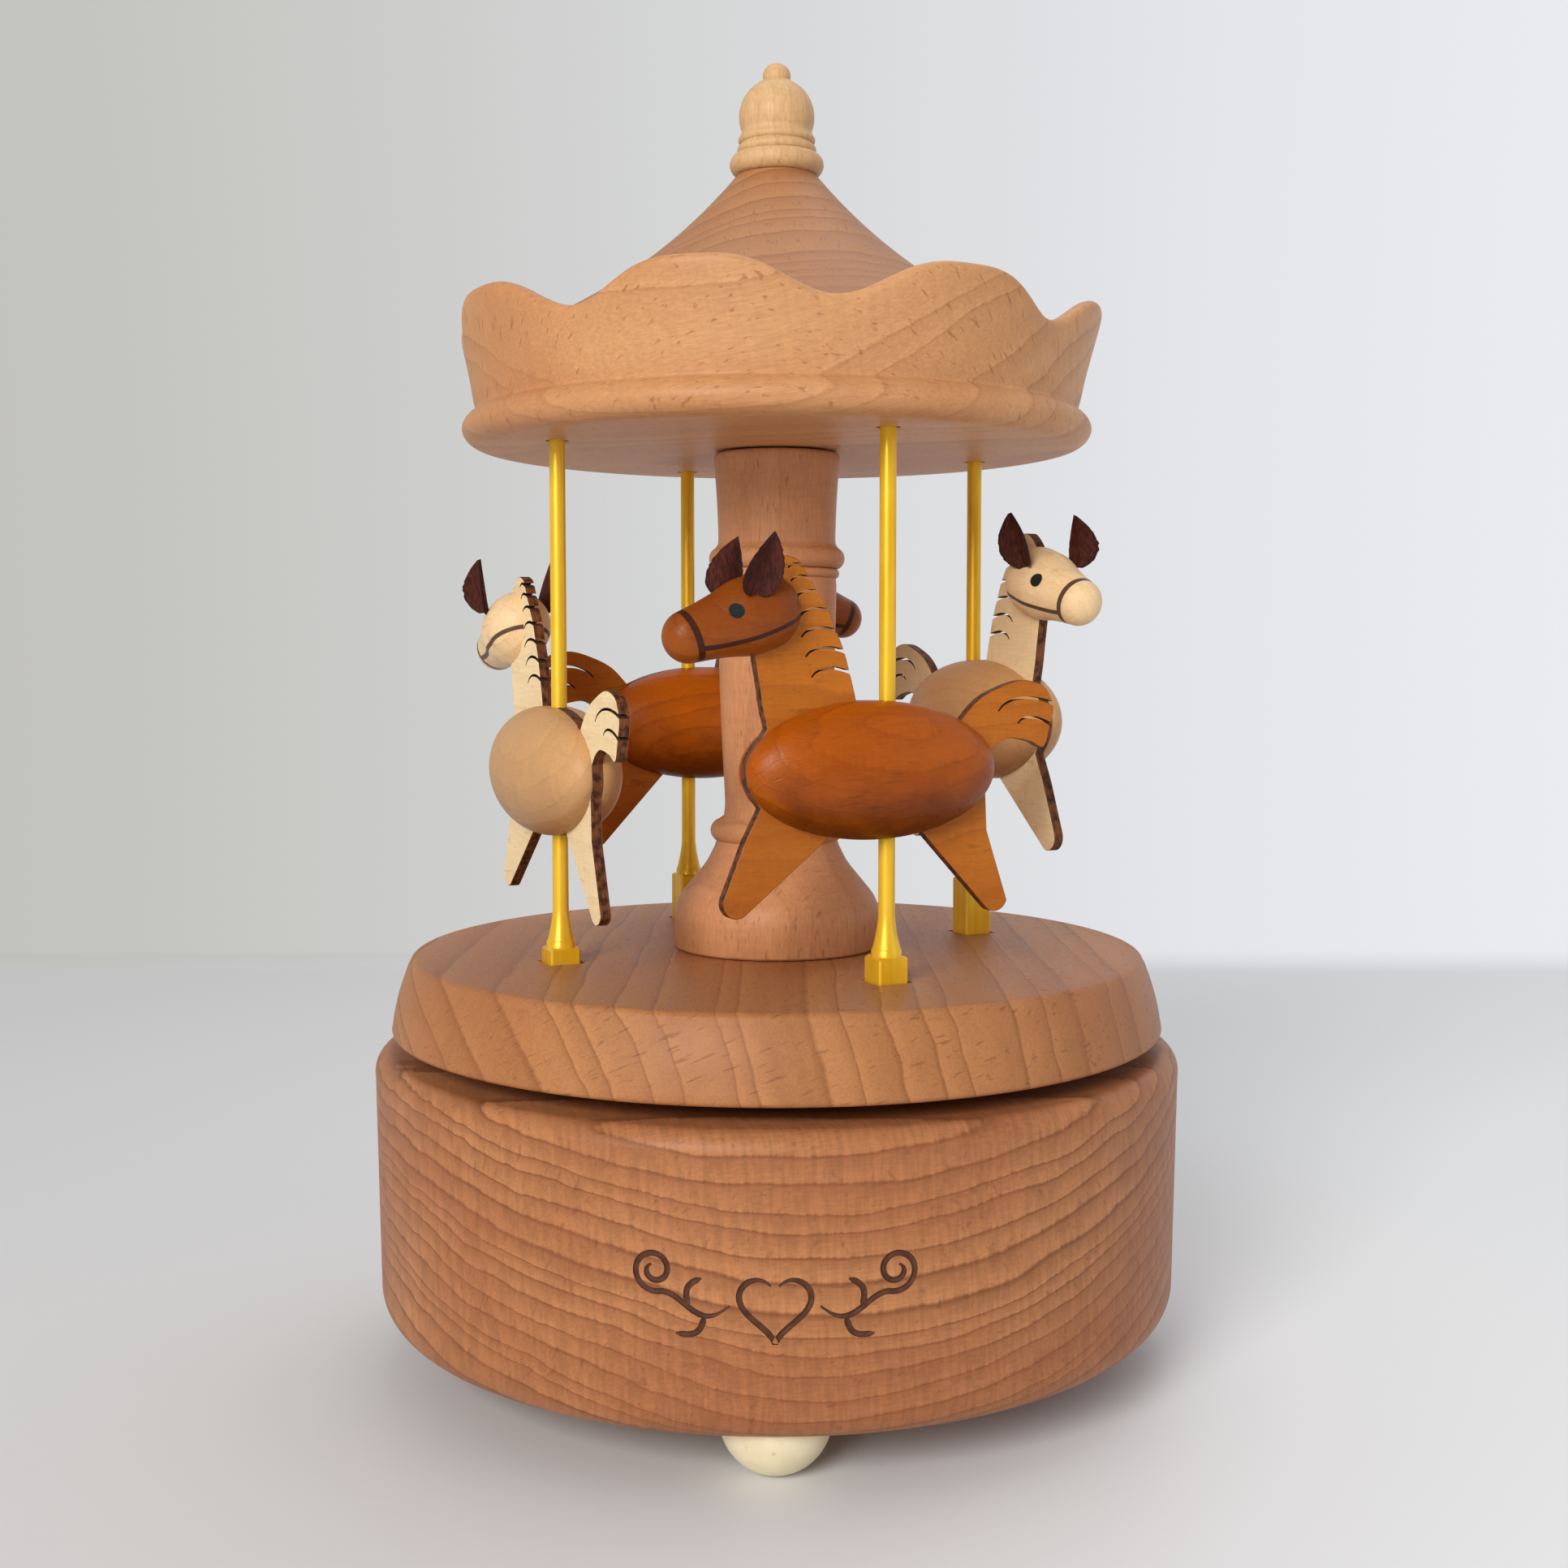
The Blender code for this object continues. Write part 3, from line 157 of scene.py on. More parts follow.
def stepBetween(tree, value, low, high, toLow=0.0, toHigh=1.0):
    inputs = {"Value": value, "From Min": low, "From Max": high, "To Min": toLow, "To Max": toHigh}
    return addNode(tree, "ShaderNodeMapRange", inputs, interpolation_type="SMOOTHSTEP").outputs[0]


def mixed(tree, factor, first, second, blend="MIX"):
    inputs = {0: factor, 6: first, 7: second}
    return addNode(tree, "ShaderNodeMix", inputs, data_type="RGBA", blend_type=blend).outputs[2]


def overlay(tree, colour, mask, strength, layer):
    return mixed(tree, times(tree, mask, strength), colour, layer)


def bumpBy(tree, shader, height, strength, distance):
    bump = addNode(tree, "ShaderNodeBump", {"Height": height, "Strength": strength, "Distance": distance})
    tree.links.new(bump.outputs[0], shader.inputs["Normal"])


def rampOf(tree, value, stops):
    node = addNode(tree, "ShaderNodeValToRGB", {0: value})
    elements = node.color_ramp.elements
    while len(elements) < len(stops):
        elements.new(0.5)
    for element, (place, level) in zip(elements, stops):
        element.position = place
        element.color = (level, level, level, 1)
    return plus(tree, node.outputs[0], 0.0)


def tint(red, green, blue):
    # a colour as a paint shop names it, 0 to 255, made linear
    levels = np.array((red, green, blue)) / 255
    return (*np.where(levels < 0.04045, levels / 12.92, ((levels + 0.055) / 1.055) ** 2.4).tolist(), 1.0)


def newGroup(name, inputs, outputs):
    group = bpy.data.node_groups.new(name, "ShaderNodeTree")
    for label, kind, default in inputs:
        socket = group.interface.new_socket(label, in_out="INPUT", socket_type=kind)
        if default is not None:
            socket.default_value = default
    for label in outputs:
        group.interface.new_socket(label, in_out="OUTPUT", socket_type="NodeSocketFloat")
    return group, group.nodes.new("NodeGroupInput"), group.nodes.new("NodeGroupOutput")


def makeGrainGroup():
    # wood cut from a log whose pith is the Z axis, in millimetres: growth rings are the fractional part of
    # the bent distance from the pith, and rays are noise that is thin round it, long outwards, short along it
    inputs = [("Position", "NodeSocketVector", None), ("Spacing", "NodeSocketFloat", 4.0)]
    inputs += [("Waviness", "NodeSocketFloat", 4.0), ("Ray Length", "NodeSocketFloat", 1.0)]
    group, entry, out = newGroup("woodGrain", inputs, ["Rings", "Rays", "Tone", "Fibre", "Pores", "Ripple"])
    place = entry.outputs["Position"]
    parts = partsOf(group, place)
    slow = noiseAt(group, scaled(group, place, (0.022, 0.022, 0.008)), 1.5)
    quick = noiseAt(group, scaled(group, place, (0.16, 0.16, 0.05)), 2.0)
    bend = plus(group, times(group, slow, 5.0), quick)
    bend = times(group, minus(group, bend, 3.0), entry.outputs["Waviness"])
    ripple = noiseAt(group, scaled(group, place, (0.22, 0.22, 1.5)), 3.0, 0.6)
    group.links.new(ripple, out.inputs["Ripple"])
    bend = plus(group, bend, times(group, ripple, 0.4))
    radius = distance(group, parts[0], parts[1])
    bentRadius = plus(group, radius, bend)
    rate = addNode(group, "ShaderNodeTexNoise", {"W": times(group, bentRadius, 0.09), "Scale": 1.0},
                   noise_dimensions="1D").outputs["Fac"]
    count = calc(group, "DIVIDE", bentRadius, entry.outputs["Spacing"])
    count = plus(group, count, times(group, rate, 3.0))
    share = calc(group, "FRACT", count)
    rings = rampOf(group, share, [(0.0, 0.0), (0.3, 0.15), (0.8, 0.5), (0.92, 1.0), (1.0, 0.0)])
    group.links.new(rings, out.inputs["Rings"])
    around = times(group, calc(group, "ARCTAN2", parts[1], parts[0]), 75.0)
    polar = {0: times(group, around, 3.4), 1: times(group, radius, 0.3)}
    polar[2] = calc(group, "DIVIDE", parts[2], entry.outputs["Ray Length"])
    polar = addNode(group, "ShaderNodeCombineXYZ", polar)
    rays = noiseAt(group, polar.outputs[0], 1.0, 0.4)
    group.links.new(stepBetween(group, rays, 0.64, 0.76), out.inputs["Rays"])
    tone = noiseAt(group, scaled(group, place, (0.05, 0.05, 0.014)), 2.5)
    group.links.new(tone, out.inputs["Tone"])
    fibre = noiseAt(group, scaled(group, place, (3.2, 3.2, 0.35)), 4.0, 0.65)
    group.links.new(fibre, out.inputs["Fibre"])
    pores = noiseAt(group, scaled(group, place, (5.5, 5.5, 1.3)), 1.0, 0.5)
    group.links.new(stepBetween(group, pores, 0.63, 0.74), out.inputs["Pores"])
    return group


grainGroup = makeGrainGroup()


def newMaterial(name):
    material = bpy.data.materials.new(name)
    material.use_nodes = True
    return material, material.node_tree, material.node_tree.nodes["Principled BSDF"]


def attributeOf(tree, name, output="Vector"):
    return addNode(tree, "ShaderNodeAttribute", attribute_name=name).outputs[output]


def woodMaterial(name, wood, source=None):
    # light and dark wood by rings, darker rays and pores, a slow drift of tone, and a satin wax
    material, tree, shader = newMaterial(name)
    place = source(tree) if source else objectPlace(tree)
    size = (1.0, 1.0, 1.0) if source else (mm, mm, mm)
    turn = tuple(math.radians(angle) for angle in wood["grain"])
    mapping = addNode(tree, "ShaderNodeMapping", {"Vector": place, "Location": wood["pith"], "Rotation": turn,
                      "Scale": size}, vector_type="TEXTURE").outputs[0]
    grain = addNode(tree, "ShaderNodeGroup", node_tree=grainGroup)
    tree.links.new(mapping, grain.inputs["Position"])
    grain.inputs["Spacing"].default_value = wood["spacing"]
    grain.inputs["Waviness"].default_value = wood["waviness"]
    grain.inputs["Ray Length"].default_value = wood.get("rayLength", 1.0)
    out = grain.outputs
    colour = overlay(tree, tint(*wood["light"]), out["Rings"], wood["ringDepth"], tint(*wood["dark"]))
    drift = stepBetween(tree, out["Tone"], 0.32, 0.68)
    colour = overlay(tree, colour, drift, wood["driftDepth"], tint(*wood["warm"]))
    fibre = stepBetween(tree, out["Fibre"], 0.3, 0.7, 1.0 - wood["fibreDepth"], 1.0 + wood["fibreDepth"])
    colour = mixed(tree, 1.0, colour, fibre, "MULTIPLY")
    depth = wood["rippleDepth"]
    ripple = stepBetween(tree, out["Ripple"], 0.35, 0.65, 1 - depth, 1 + depth)
    colour = mixed(tree, 1.0, colour, ripple, "MULTIPLY")
    colour = overlay(tree, colour, out["Rays"], wood["rayDepth"], tint(*wood["ray"]))
    colour = overlay(tree, colour, out["Pores"], wood["poreDepth"], tint(*wood["ray"]))
    rough = stepBetween(tree, out["Fibre"], 0.3, 0.7, wood["roughness"] - 0.06, wood["roughness"] + 0.08)
    tree.links.new(rough, shader.inputs["Roughness"])
    height = minus(tree, times(tree, out["Fibre"], 0.5), times(tree, out["Rays"], 0.5))
    height = minus(tree, height, times(tree, out["Rings"], 0.35))
    bumpBy(tree, shader, height, wood["bump"], 0.0002)
    fill(tree, shader, {"Base Color": colour, "Specular IOR Level": wood.get("shine", 0.25)})
    return material, tree, shader, colour


# mesh helpers

def gridFaces(rows, columns, wrapRows=False, wrapColumns=True):
    # quads between neighbouring points of a grid counted row by row
    row, column = np.indices((rows - (not wrapRows), columns - (not wrapColumns)))
    here, beyond = row * columns, (row + 1) % rows * columns
    beside = (column + 1) % columns
    return np.stack((here + column, here + beside, beyond + beside, beyond + column), -1).reshape(-1, 4)


def smoothLine(points, steps):
    # Catmull-Rom: each stretch is the cubic whose end slopes run parallel to the points either side
    points = np.asarray(points, float)
    full = np.vstack([2 * points[0] - points[1], points, 2 * points[-1] - points[-2]])
    t = np.linspace(0, 1, steps, endpoint=False)[:, None]
    before, here, after, later = full[:-3, None], full[1:-2, None], full[2:-1, None], full[3:, None]
    line = 0.5 * (2 * here + (after - before) * t + (2 * before - 5 * here + 4 * after - later) * t**2
                  + (3 * here - before - 3 * after + later) * t**3)
    return np.vstack([line.reshape(-1, points.shape[1]), points[-1:]])


def arcLine(centre, radius, start, end, steps):
    # points at a fixed distance from the centre, angles in degrees
    angles = np.radians(np.linspace(start, end, steps + 1))
    return np.stack([centre[0] + radius * np.cos(angles), centre[1] + radius * np.sin(angles)], -1)


def turnedPoints(profile, segments, warp=None):
    # the point of a profile (radius, height) at angle a stands at (radius cos a, radius sin a, height)
    profile = np.asarray(profile, float)
    angles = np.linspace(0, tau, segments, endpoint=False)[None, :]
    radius = np.repeat(profile[:, :1], segments, 1)
    height = np.repeat(profile[:, 1:2], segments, 1)
    if warp:
        radius, height = warp(radius, height, angles)
    return np.stack([radius * np.cos(angles), radius * np.sin(angles), height], -1)


def setAttributes(mesh, attributes):
    for label, values in attributes.items():
        if label in mesh.attributes:
            mesh.attributes.remove(mesh.attributes[label])
        vector = np.ndim(values) > 1
        layer = mesh.attributes.new(label, "FLOAT_VECTOR" if vector else "FLOAT", "POINT")
        layer.data.foreach_set("vector" if vector else "value", np.asarray(values, np.float32).ravel())


def makePiece(name, points, faces, finish, attributes=None, smooth=40):
    # points in millimetres; doubles are merged, so poles close, and faces are turned outwards
    mesh = bpy.data.meshes.new(name)
    points = np.asarray(points).reshape(-1, 3) * mm
    mesh.from_pydata(points.tolist(), [], [list(map(int, face)) for face in faces])
    setAttributes(mesh, attributes or {})
    shape = bmesh.new()
    shape.from_mesh(mesh)
    bmesh.ops.remove_doubles(shape, verts=shape.verts, dist=2e-6)
    bmesh.ops.recalc_face_normals(shape, faces=shape.faces)
    shape.to_mesh(mesh)
    shape.free()
    mesh.shade_smooth()
    mesh.set_sharp_from_angle(angle=math.radians(smooth))
    if finish:
        mesh.materials.append(finish)
    piece = bpy.data.objects.new(name, mesh)
    bpy.context.scene.collection.objects.link(piece)
    return piece


def makeTurned(name, profile, segments, finish, warp=None, smooth=40, closed=False):
    # the profile carried round the Z axis; a closed one runs back to its own start
    faces = gridFaces(len(profile), segments, closed)
    return makePiece(name, turnedPoints(profile, segments, warp), faces, finish, smooth=smooth)


def applyModifiers(piece):
    # the evaluated mesh takes the piece's own place
    evaluated = piece.evaluated_get(bpy.context.evaluated_depsgraph_get())
    finished = bpy.data.meshes.new_from_object(evaluated)
    piece.modifiers.clear()
    piece.data = finished


def cutAway(piece, cutter, smooth=40):
    bpy.context.view_layer.update()
    modifier = piece.modifiers.new("cut", "BOOLEAN")
    modifier.operation = "DIFFERENCE"
    modifier.solver = "MANIFOLD"
    modifier.object = cutter
    applyModifiers(piece)
    bpy.data.objects.remove(cutter, do_unlink=True)
    piece.data.set_sharp_from_angle(angle=math.radians(smooth))


def settle(piece, body, slotName, *replaced):
    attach(piece, body)
    if replaced:
        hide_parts(*replaced)
    return piece


def extent(node):
    # lowest and highest corner of a node in millimetres
    low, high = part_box(node)
    return np.array(low) / mm, np.array(high) / mm


# floor

def makeFloor():
    # the table's far edge is a soft dark line; past it the floor glows like the wall behind, whose
    # colour runs from left to right with the sideways part of the line from the camera, darker to the left as
    # painted shade; nearer, the floor itself is painted darker to the left as shade and lighter to the right
    # as light
    material, tree, shader = newMaterial("tableTop")
    place = objectPlace(tree)
    depth = partsOf(tree, place)[1]
    far = stepBetween(tree, depth, surround["edge"] - 0.02, surround["edge"] + 0.02)
    line = calc(tree, "ABSOLUTE", minus(tree, depth, surround["edge"]))
    line = stepBetween(tree, line, 0.0, 0.03, 0.9, 1.0)
    sight = addNode(tree, "ShaderNodeVectorMath", {0: place, 1: view["place"]}, operation="SUBTRACT")
    sight = addNode(tree, "ShaderNodeVectorMath", {0: sight.outputs[0]}, operation="NORMALIZE").outputs[0]
    across = partsOf(tree, sight)[0]
    share = stepBetween(tree, across, *surround["span"])
    # the wall's glow: painted shade on the left, painted light on the right
    wall = mixed(tree, share, (*surround["left"], 1), (*surround["right"], 1))
    wall = mixed(tree, 1.0, wall, line, "MULTIPLY")
    # the near floor's colour: painted shade to the left, painted light to the right
    near = mixed(tree, share, (*surround["floorShadedLeft"], 1), (*surround["floorLitRight"], 1))
    fill(tree, shader, {
        "Base Color": mixed(tree, far, near, (0, 0, 0, 1)),
        "Emission Color": mixed(tree, far, (0, 0, 0, 1), wall),
        "Emission Strength": 1.0,
        "Specular IOR Level": stepBetween(tree, far, 0.0, 1.0, 0.2, 0.0),
        "Roughness": 0.5,
    })
    profile = np.stack([np.linspace(0, 6000, 13), np.zeros(13)], -1)
    makeTurned("floor", profile, 96, material)


makeCamera()
makeLamps()
makeFloor()
print("studio ready")


# base

beechTones = {
    "light": (182, 122, 78), "dark": (117, 65, 34), "warm": (151, 89, 55), "ray": (92, 50, 27),
    "grain": (0, 87, 12), "pith": (0.0, 0.0, -0.07), "spacing": 2.3, "waviness": 1.8, "ringDepth": 0.85,
    "driftDepth": 0.6, "fibreDepth": 0.09, "rayDepth": 0.25, "poreDepth": 0.1, "rippleDepth": 0.1,
    "roughness": 0.45, "bump": 0.35,
}
baseForm = {"topRound": 2.6, "bottomRound": 5.0, "taper": 0.5, "well": 42.0, "wellDepth": 6.5, "deck": 3.5,
            "hole": 3.0, "cavity": 32.0, "cover": 35.3, "segments": 288}


def makeBase():
    low, high = extent("base_body")
    form, radius, bottom, top = baseForm, high[0], low[2], high[2]
    lower = radius - form["taper"]
    coverTop = extent("bottom_cover")[1][2] + 0.3
    deckTop = top - form["wellDepth"]
    well = form["well"]
    profile = [(form["hole"], deckTop), (well, deckTop), (well, top - 0.4), (well + 0.4, top)]
    profile += list(arcLine((radius - form["topRound"], top - form["topRound"]), form["topRound"], 90, 0, 14))
    side = np.linspace(top - form["topRound"] - 1, bottom + form["bottomRound"] + 1, 16)
    profile += [(radius - form["taper"] * (top - z) / (top - bottom - form["bottomRound"]), z) for z in side]
    centre = (lower - form["bottomRound"], bottom + form["bottomRound"])
    profile += list(arcLine(centre, form["bottomRound"], 0, -90, 20))
    profile += [(form["cover"], bottom), (form["cover"], coverTop), (form["cavity"], coverTop)]
    profile += [(form["cavity"], deckTop - form["deck"]), (form["hole"], deckTop - form["deck"])]
    finish = woodMaterial("beechBase", beechTones)[0]
    base = makeTurned("turnedBase", profile, form["segments"], finish, closed=True)
    return settle(base, "root", "beech", "base_body"), radius


base, baseRadius = makeBase()
print("base ready")


# engraved ornament on the base's front: a heart between two scrolls

engraving = {
    "height": 24.0, "half": 0.38, "depth": 0.35, "heart": 0.26, "start": 5.2, "stem": 8.5, "curl": 2.6,
    "turns": 1.45, "burnt": (74, 40, 24),
}


def strokeTube(path, sides=8):
    # a round section carried along a line laid on the base's side: (x, z) becomes (R sin, -R cos, z)
    path = np.asarray(path, float)
    bottomEdge = baseForm["bottomRound"] + extent("base_body")[0][2]
    fall = (extent("base_body")[1][2] - path[:, 1]) / (extent("base_body")[1][2] - bottomEdge)
    wall = baseRadius - baseForm["taper"] * fall - engraving["depth"] + engraving["half"]
    turn = path[:, 0] / baseRadius
    outward = np.stack([np.sin(turn), -np.cos(turn), 0 * turn], -1)
    centre = wall[:, None] * outward + path[:, 1:] * np.array((0, 0, 1))
    along = np.gradient(centre, axis=0)
    along /= np.linalg.norm(along, axis=1, keepdims=True)
    across = np.cross(along, outward)
    angles = np.linspace(0, tau, sides, endpoint=False)[None, :, None]
    # the groove thins towards both ends
    size = np.clip(np.sin(np.linspace(0.12, math.pi - 0.12, len(path))) * 2.2, 0.4, 1)
    size = size[:, None, None] * engraving["half"]
    ring = centre[:, None] + size * (np.cos(angles) * outward[:, None] + np.sin(angles) * across[:, None])
    faces = gridFaces(len(path), sides).tolist()
    faces += [list(range(sides)), [len(path) * sides - 1 - k for k in range(sides)]]
    return ring.reshape(-1, 3), faces


def makeEngraving():
    material, tree, shader = newMaterial("burntGroove")
    place = scaled(tree, objectPlace(tree), (900, 900, 900))
    char = stepBetween(tree, noiseAt(tree, place, 3.0), 0.3, 0.7)
    burnt = tint(*engraving["burnt"])
    fill(tree, shader, {"Base Color": mixed(tree, char, burnt, tint(96, 56, 34)), "Roughness": 0.85})
    form = engraving
    t = np.linspace(0.5, tau - 0.5, 60)
    rise = 13 * np.cos(t) - 5 * np.cos(2 * t) - 2 * np.cos(3 * t) - np.cos(4 * t)
    strokes = [np.stack([16 * np.sin(t) ** 3, rise], -1) * form["heart"]]
    # a stem that waves once and winds up into a spiral, with two leaves springing from it
    t = np.linspace(0, 1, 24)
    stem = np.stack([form["start"] + form["stem"] * t, -1.3 * np.sin(1.6 * math.pi * t)], -1)
    start = math.atan2(*(stem[-1] - stem[-2])[::-1]) - math.pi / 2
    share = np.linspace(0, 1, 50)[1:, None]
    angle = start + share * tau * form["turns"]
    spiral = form["curl"] * (1 - 0.74 * share) * np.hstack([np.cos(angle), np.sin(angle)])
    eye = stem[-1] - form["curl"] * np.array((math.cos(start), math.sin(start)))
    scroll = np.vstack([stem, eye + spiral])
    leaves = []
    for root, reach, bend in ((8, (3.4, -2.2), (-0.7, -0.9)), (13, (-1.5, 3.5), (0.9, 0.5))):
        arch = np.sin(math.pi * t)[:, None] * np.array(bend)
        leaves.append(stem[root] + np.array(reach) * t[:, None] + arch)
    for side in (-1, 1):
        strokes += [stroke * (side, 1) for stroke in (scroll, *leaves)]
    wood = base.data.materials[0]
    base.data.materials.append(material)
    for stroke in strokes:
        cutter = makePiece("engravingCutter", *strokeTube(stroke + (0, form["height"])), wood)
        cutter.data.materials.append(material)
        cutter.data.polygons.foreach_set("material_index", np.ones(len(cutter.data.polygons), np.int32))
        cutAway(base, cutter, 30)


makeEngraving()
print("engraving ready")


# platform

platformTones = dict(
    beechTones, light=(181, 122, 76), dark=(122, 72, 38), warm=(158, 96, 56), grain=(90, 0, 0),
    pith=(-0.08, 0.0, 0.021), spacing=4.6, waviness=1.2, ringDepth=0.65, rayDepth=0.4, poreDepth=0.15,
    rippleDepth=0.03)
platformForm = {
    "plate": 5.0, "recess": 45.2, "edge": 1.1, "foot": 0.7, "bulge": 0.55, "taper": 2.5, "block": 2.1,
    "play": 0.5, "segments": 288,
}


def makePlatform():
    low, high = extent("platform")
    form, radius, bottom, top = platformForm, high[0], low[2], high[2]
    crown = radius - form["taper"]
    profile = [(0, top)]
    profile += [(r, top) for r in np.linspace(8, crown - form["edge"] - 0.5, 8)]
    profile += list(arcLine((crown - form["edge"], top - form["edge"]), form["edge"], 90, 15, 8))
    t = np.linspace(0.08, 0.92, 18)
    sideRadius = crown + form["taper"] * t + form["bulge"] * np.sin(math.pi * t) * 0.6
    sideHeight = top - form["edge"] * 0.6 - (top - form["edge"] * 0.6 - bottom - form["foot"]) * t
    profile += list(np.stack([np.minimum(sideRadius, radius), sideHeight], -1))
    profile += list(arcLine((radius - form["foot"], bottom + form["foot"]), form["foot"], 0, -90, 6))
    profile += [(form["recess"], bottom), (form["recess"], top - form["plate"]), (0, top - form["plate"])]
    finish = woodMaterial("beechPlatform", platformTones)[0]
    platform = makeTurned("turnedPlatform", profile, form["segments"], finish)
    half = form["block"] + form["play"]
    for polePlace in polePlaces:
        outward = polePlace / np.linalg.norm(polePlace)
        beside = np.array((-outward[1], outward[0]))
        square = np.array([(-half, -half), (half, -half), (half, half), (-half, half)])
        plan = polePlace + square[:, :1] * outward + square[:, 1:] * beside
        heights = (top - form["plate"] - 2, top + 2)
        corners = np.vstack([np.column_stack([plan, np.full(4, z)]) for z in heights])
        faces = gridFaces(2, 4).tolist() + [[0, 1, 2, 3], [4, 5, 6, 7]]
        cutAway(platform, makePiece("blockHole", corners, faces, None))
    settle(platform, "carousel", "beech", "platform")


def poleCentre(number):
    low, high = extent(f"horse_{number}_pole")
    return ((low + high) / 2)[:2]


polePlaces = [poleCentre(number) for number in range(1, 5)]
makePlatform()
print("platform ready")


# column

columnTones = dict(
    beechTones, light=(206, 146, 102), dark=(168, 108, 70), warm=(190, 126, 84), grain=(0, 0, 0),
    pith=(0.05, 0.03, 0.0), spacing=4.5, waviness=2.0, ringDepth=0.3, rayDepth=0.35, rayLength=1.8,
    ray=(104, 58, 36), rippleDepth=0.03)
columnForm = {"foot": 14.5, "gap": 0.25, "segments": 160}


def makeColumn():
    # heights count from the column's foot
    bottom, top = extent("platform")[1][2] + 0.1, extent("canopy")[0][2] - columnForm["gap"]
    foot, tall = columnForm["foot"], top - bottom
    profile = [(0, 0), (foot - 0.4, 0), (foot, 0.4), (foot, 4.3)]
    profile += list(smoothLine([(foot, 4.6), (foot - 0.15, 5.6), (foot - 0.8, 7.3), (foot - 2.6, 9.6),
                                (foot - 4.5, 12.0), (foot - 5.7, 14.3)], 6))
    profile += list(arcLine((7.8, 16.5), 1.6, -62, 72, 12))
    profile += list(smoothLine([(7.5, 18.6), (7.35, 21), (7.7, 28), (8.0, 35), (8.2, 44), (8.35, 50.2),
                                (8.3, 51.6)], 5))
    profile += list(arcLine((8.0, 52.5), 0.75, -70, 70, 8))
    profile += list(arcLine((7.9, 54.6), 1.6, -60, 62, 12))
    profile += list(smoothLine([(8.25, 56.6), (8.2, 58), (8.4, 63), (8.8, tall - 0.5)], 6))
    profile += [(8.6, tall - 0.1), (8.2, tall), (0, tall)]
    profile = np.array(profile) + (0, bottom)
    finish = woodMaterial("beechColumn", columnTones)[0]
    column = makeTurned("turnedColumn", profile, columnForm["segments"], finish, smooth=50)
    settle(column, "carousel", "beech", "column")


makeColumn()


# canopy: a bowl whose rim rises in eight scallops and flares

canopyTones = dict(
    beechTones, light=(203, 149, 102), dark=(150, 94, 54), warm=(184, 123, 77), grain=(0, 80, -6),
    pith=(0.0, 0.02, 0.07), spacing=6.0, waviness=2.5, ringDepth=0.45, rayDepth=0.6, poreDepth=0.15,
    rayLength=1.2, ray=(150, 90, 52), rippleDepth=0.03)
canopyForm = {
    "radius": 43.35, "scallops": 8, "phase": 257.2, "rise": 4.4, "flare": 1.7, "floor": 5.0,
    "poleHole": 1.55, "holeDepth": 8, "segments": 480,
}


def scallopWave(angles):
    # from 0 in a valley to 1 on a scallop, broad on the scallops and narrow in the valleys
    swing = canopyForm["scallops"] * (angles - math.radians(canopyForm["phase"]))
    return 1 - np.abs(np.sin(swing / 2)) ** 3.4


def makeCanopy():
    # each point is (radius, height, share of the scallop's rise); outside ones count from the widest radius
    bottom = extent("canopy")[0][2]
    outer, floor = canopyForm["radius"], canopyForm["floor"]
    underside = [(0, 0, 0), (10, 0, 0), (25, 0, 0), (outer - 3.4, 0, 0)]
    outside = [(-2.9, 0.02, 0), (-1.6, 0.3, 0), (-0.5, 1.1, 0), (0, 2.2, 0), (-0.25, 3.3, 0), (-1.0, 4.2, 0),
               (-1.75, 4.75, 0), (-1.8, 5.3, 0), (-1.55, 6.4, 0.05), (-1.2, 8.6, 0.25), (-0.8, 10.8, 0.6),
               (-0.5, 12.4, 0.85), (-0.5, 13.3, 1), (-1.0, 13.95, 1), (-1.9, 14.0, 1), (-2.8, 13.5, 1),
               (-3.5, 12.3, 0.9), (-4.2, 9.0, 0.4), (-5.0, floor + 0.6, 0)]
    inside = [(outer - 5.6, floor, 0), (20, floor, 0), (0, floor, 0)]
    profile = np.vstack([underside, smoothLine(outside, 4) + (outer, 0, 0), inside]) + (0, bottom, 0)

    def scalloped(radius, height, angles):
        rise = profile[:, 2:3] * scallopWave(angles)
        return radius + canopyForm["flare"] * rise, height + canopyForm["rise"] * rise

    finish = woodMaterial("beechCanopy", canopyTones)[0]
    canopy = makeTurned("scallopedCanopy", profile[:, :2], canopyForm["segments"], finish, scalloped, 50)
    for polePlace in polePlaces:
        radius, deep = canopyForm["poleHole"], bottom + canopyForm["holeDepth"]
        hole = turnedPoints([(0, bottom - 2), (radius, bottom - 2), (radius, deep), (0, deep)], 32)
        hole[..., :2] += polePlace
        cutAway(canopy, makePiece("poleHole", hole, gridFaces(4, 32), None), 50)
    settle(canopy, "carousel", "beech", "canopy")


makeCanopy()


# roof cone and finial

coneTones = dict(
    beechTones, light=(178, 123, 79), dark=(133, 81, 46), warm=(161, 102, 62), grain=(80, 0, 0),
    pith=(0.02, 0.0, 0.06), spacing=2.4, waviness=1.2, ringDepth=0.6, rayDepth=0.3, rippleDepth=0.02)
finialTones = dict(
    beechTones, light=(215, 176, 128), dark=(188, 143, 95), warm=(205, 160, 112), grain=(0, 0, 0),
    pith=(0.02, 0.01, 0.0), spacing=2.0, waviness=1.0, ringDepth=0.4, poreDepth=0.15, ray=(176, 122, 78),
    rippleDepth=0.02)
coneForm = {"topRadius": 5.6, "edge": 1.2, "segments": 192}
finialForm = {"segments": 128}


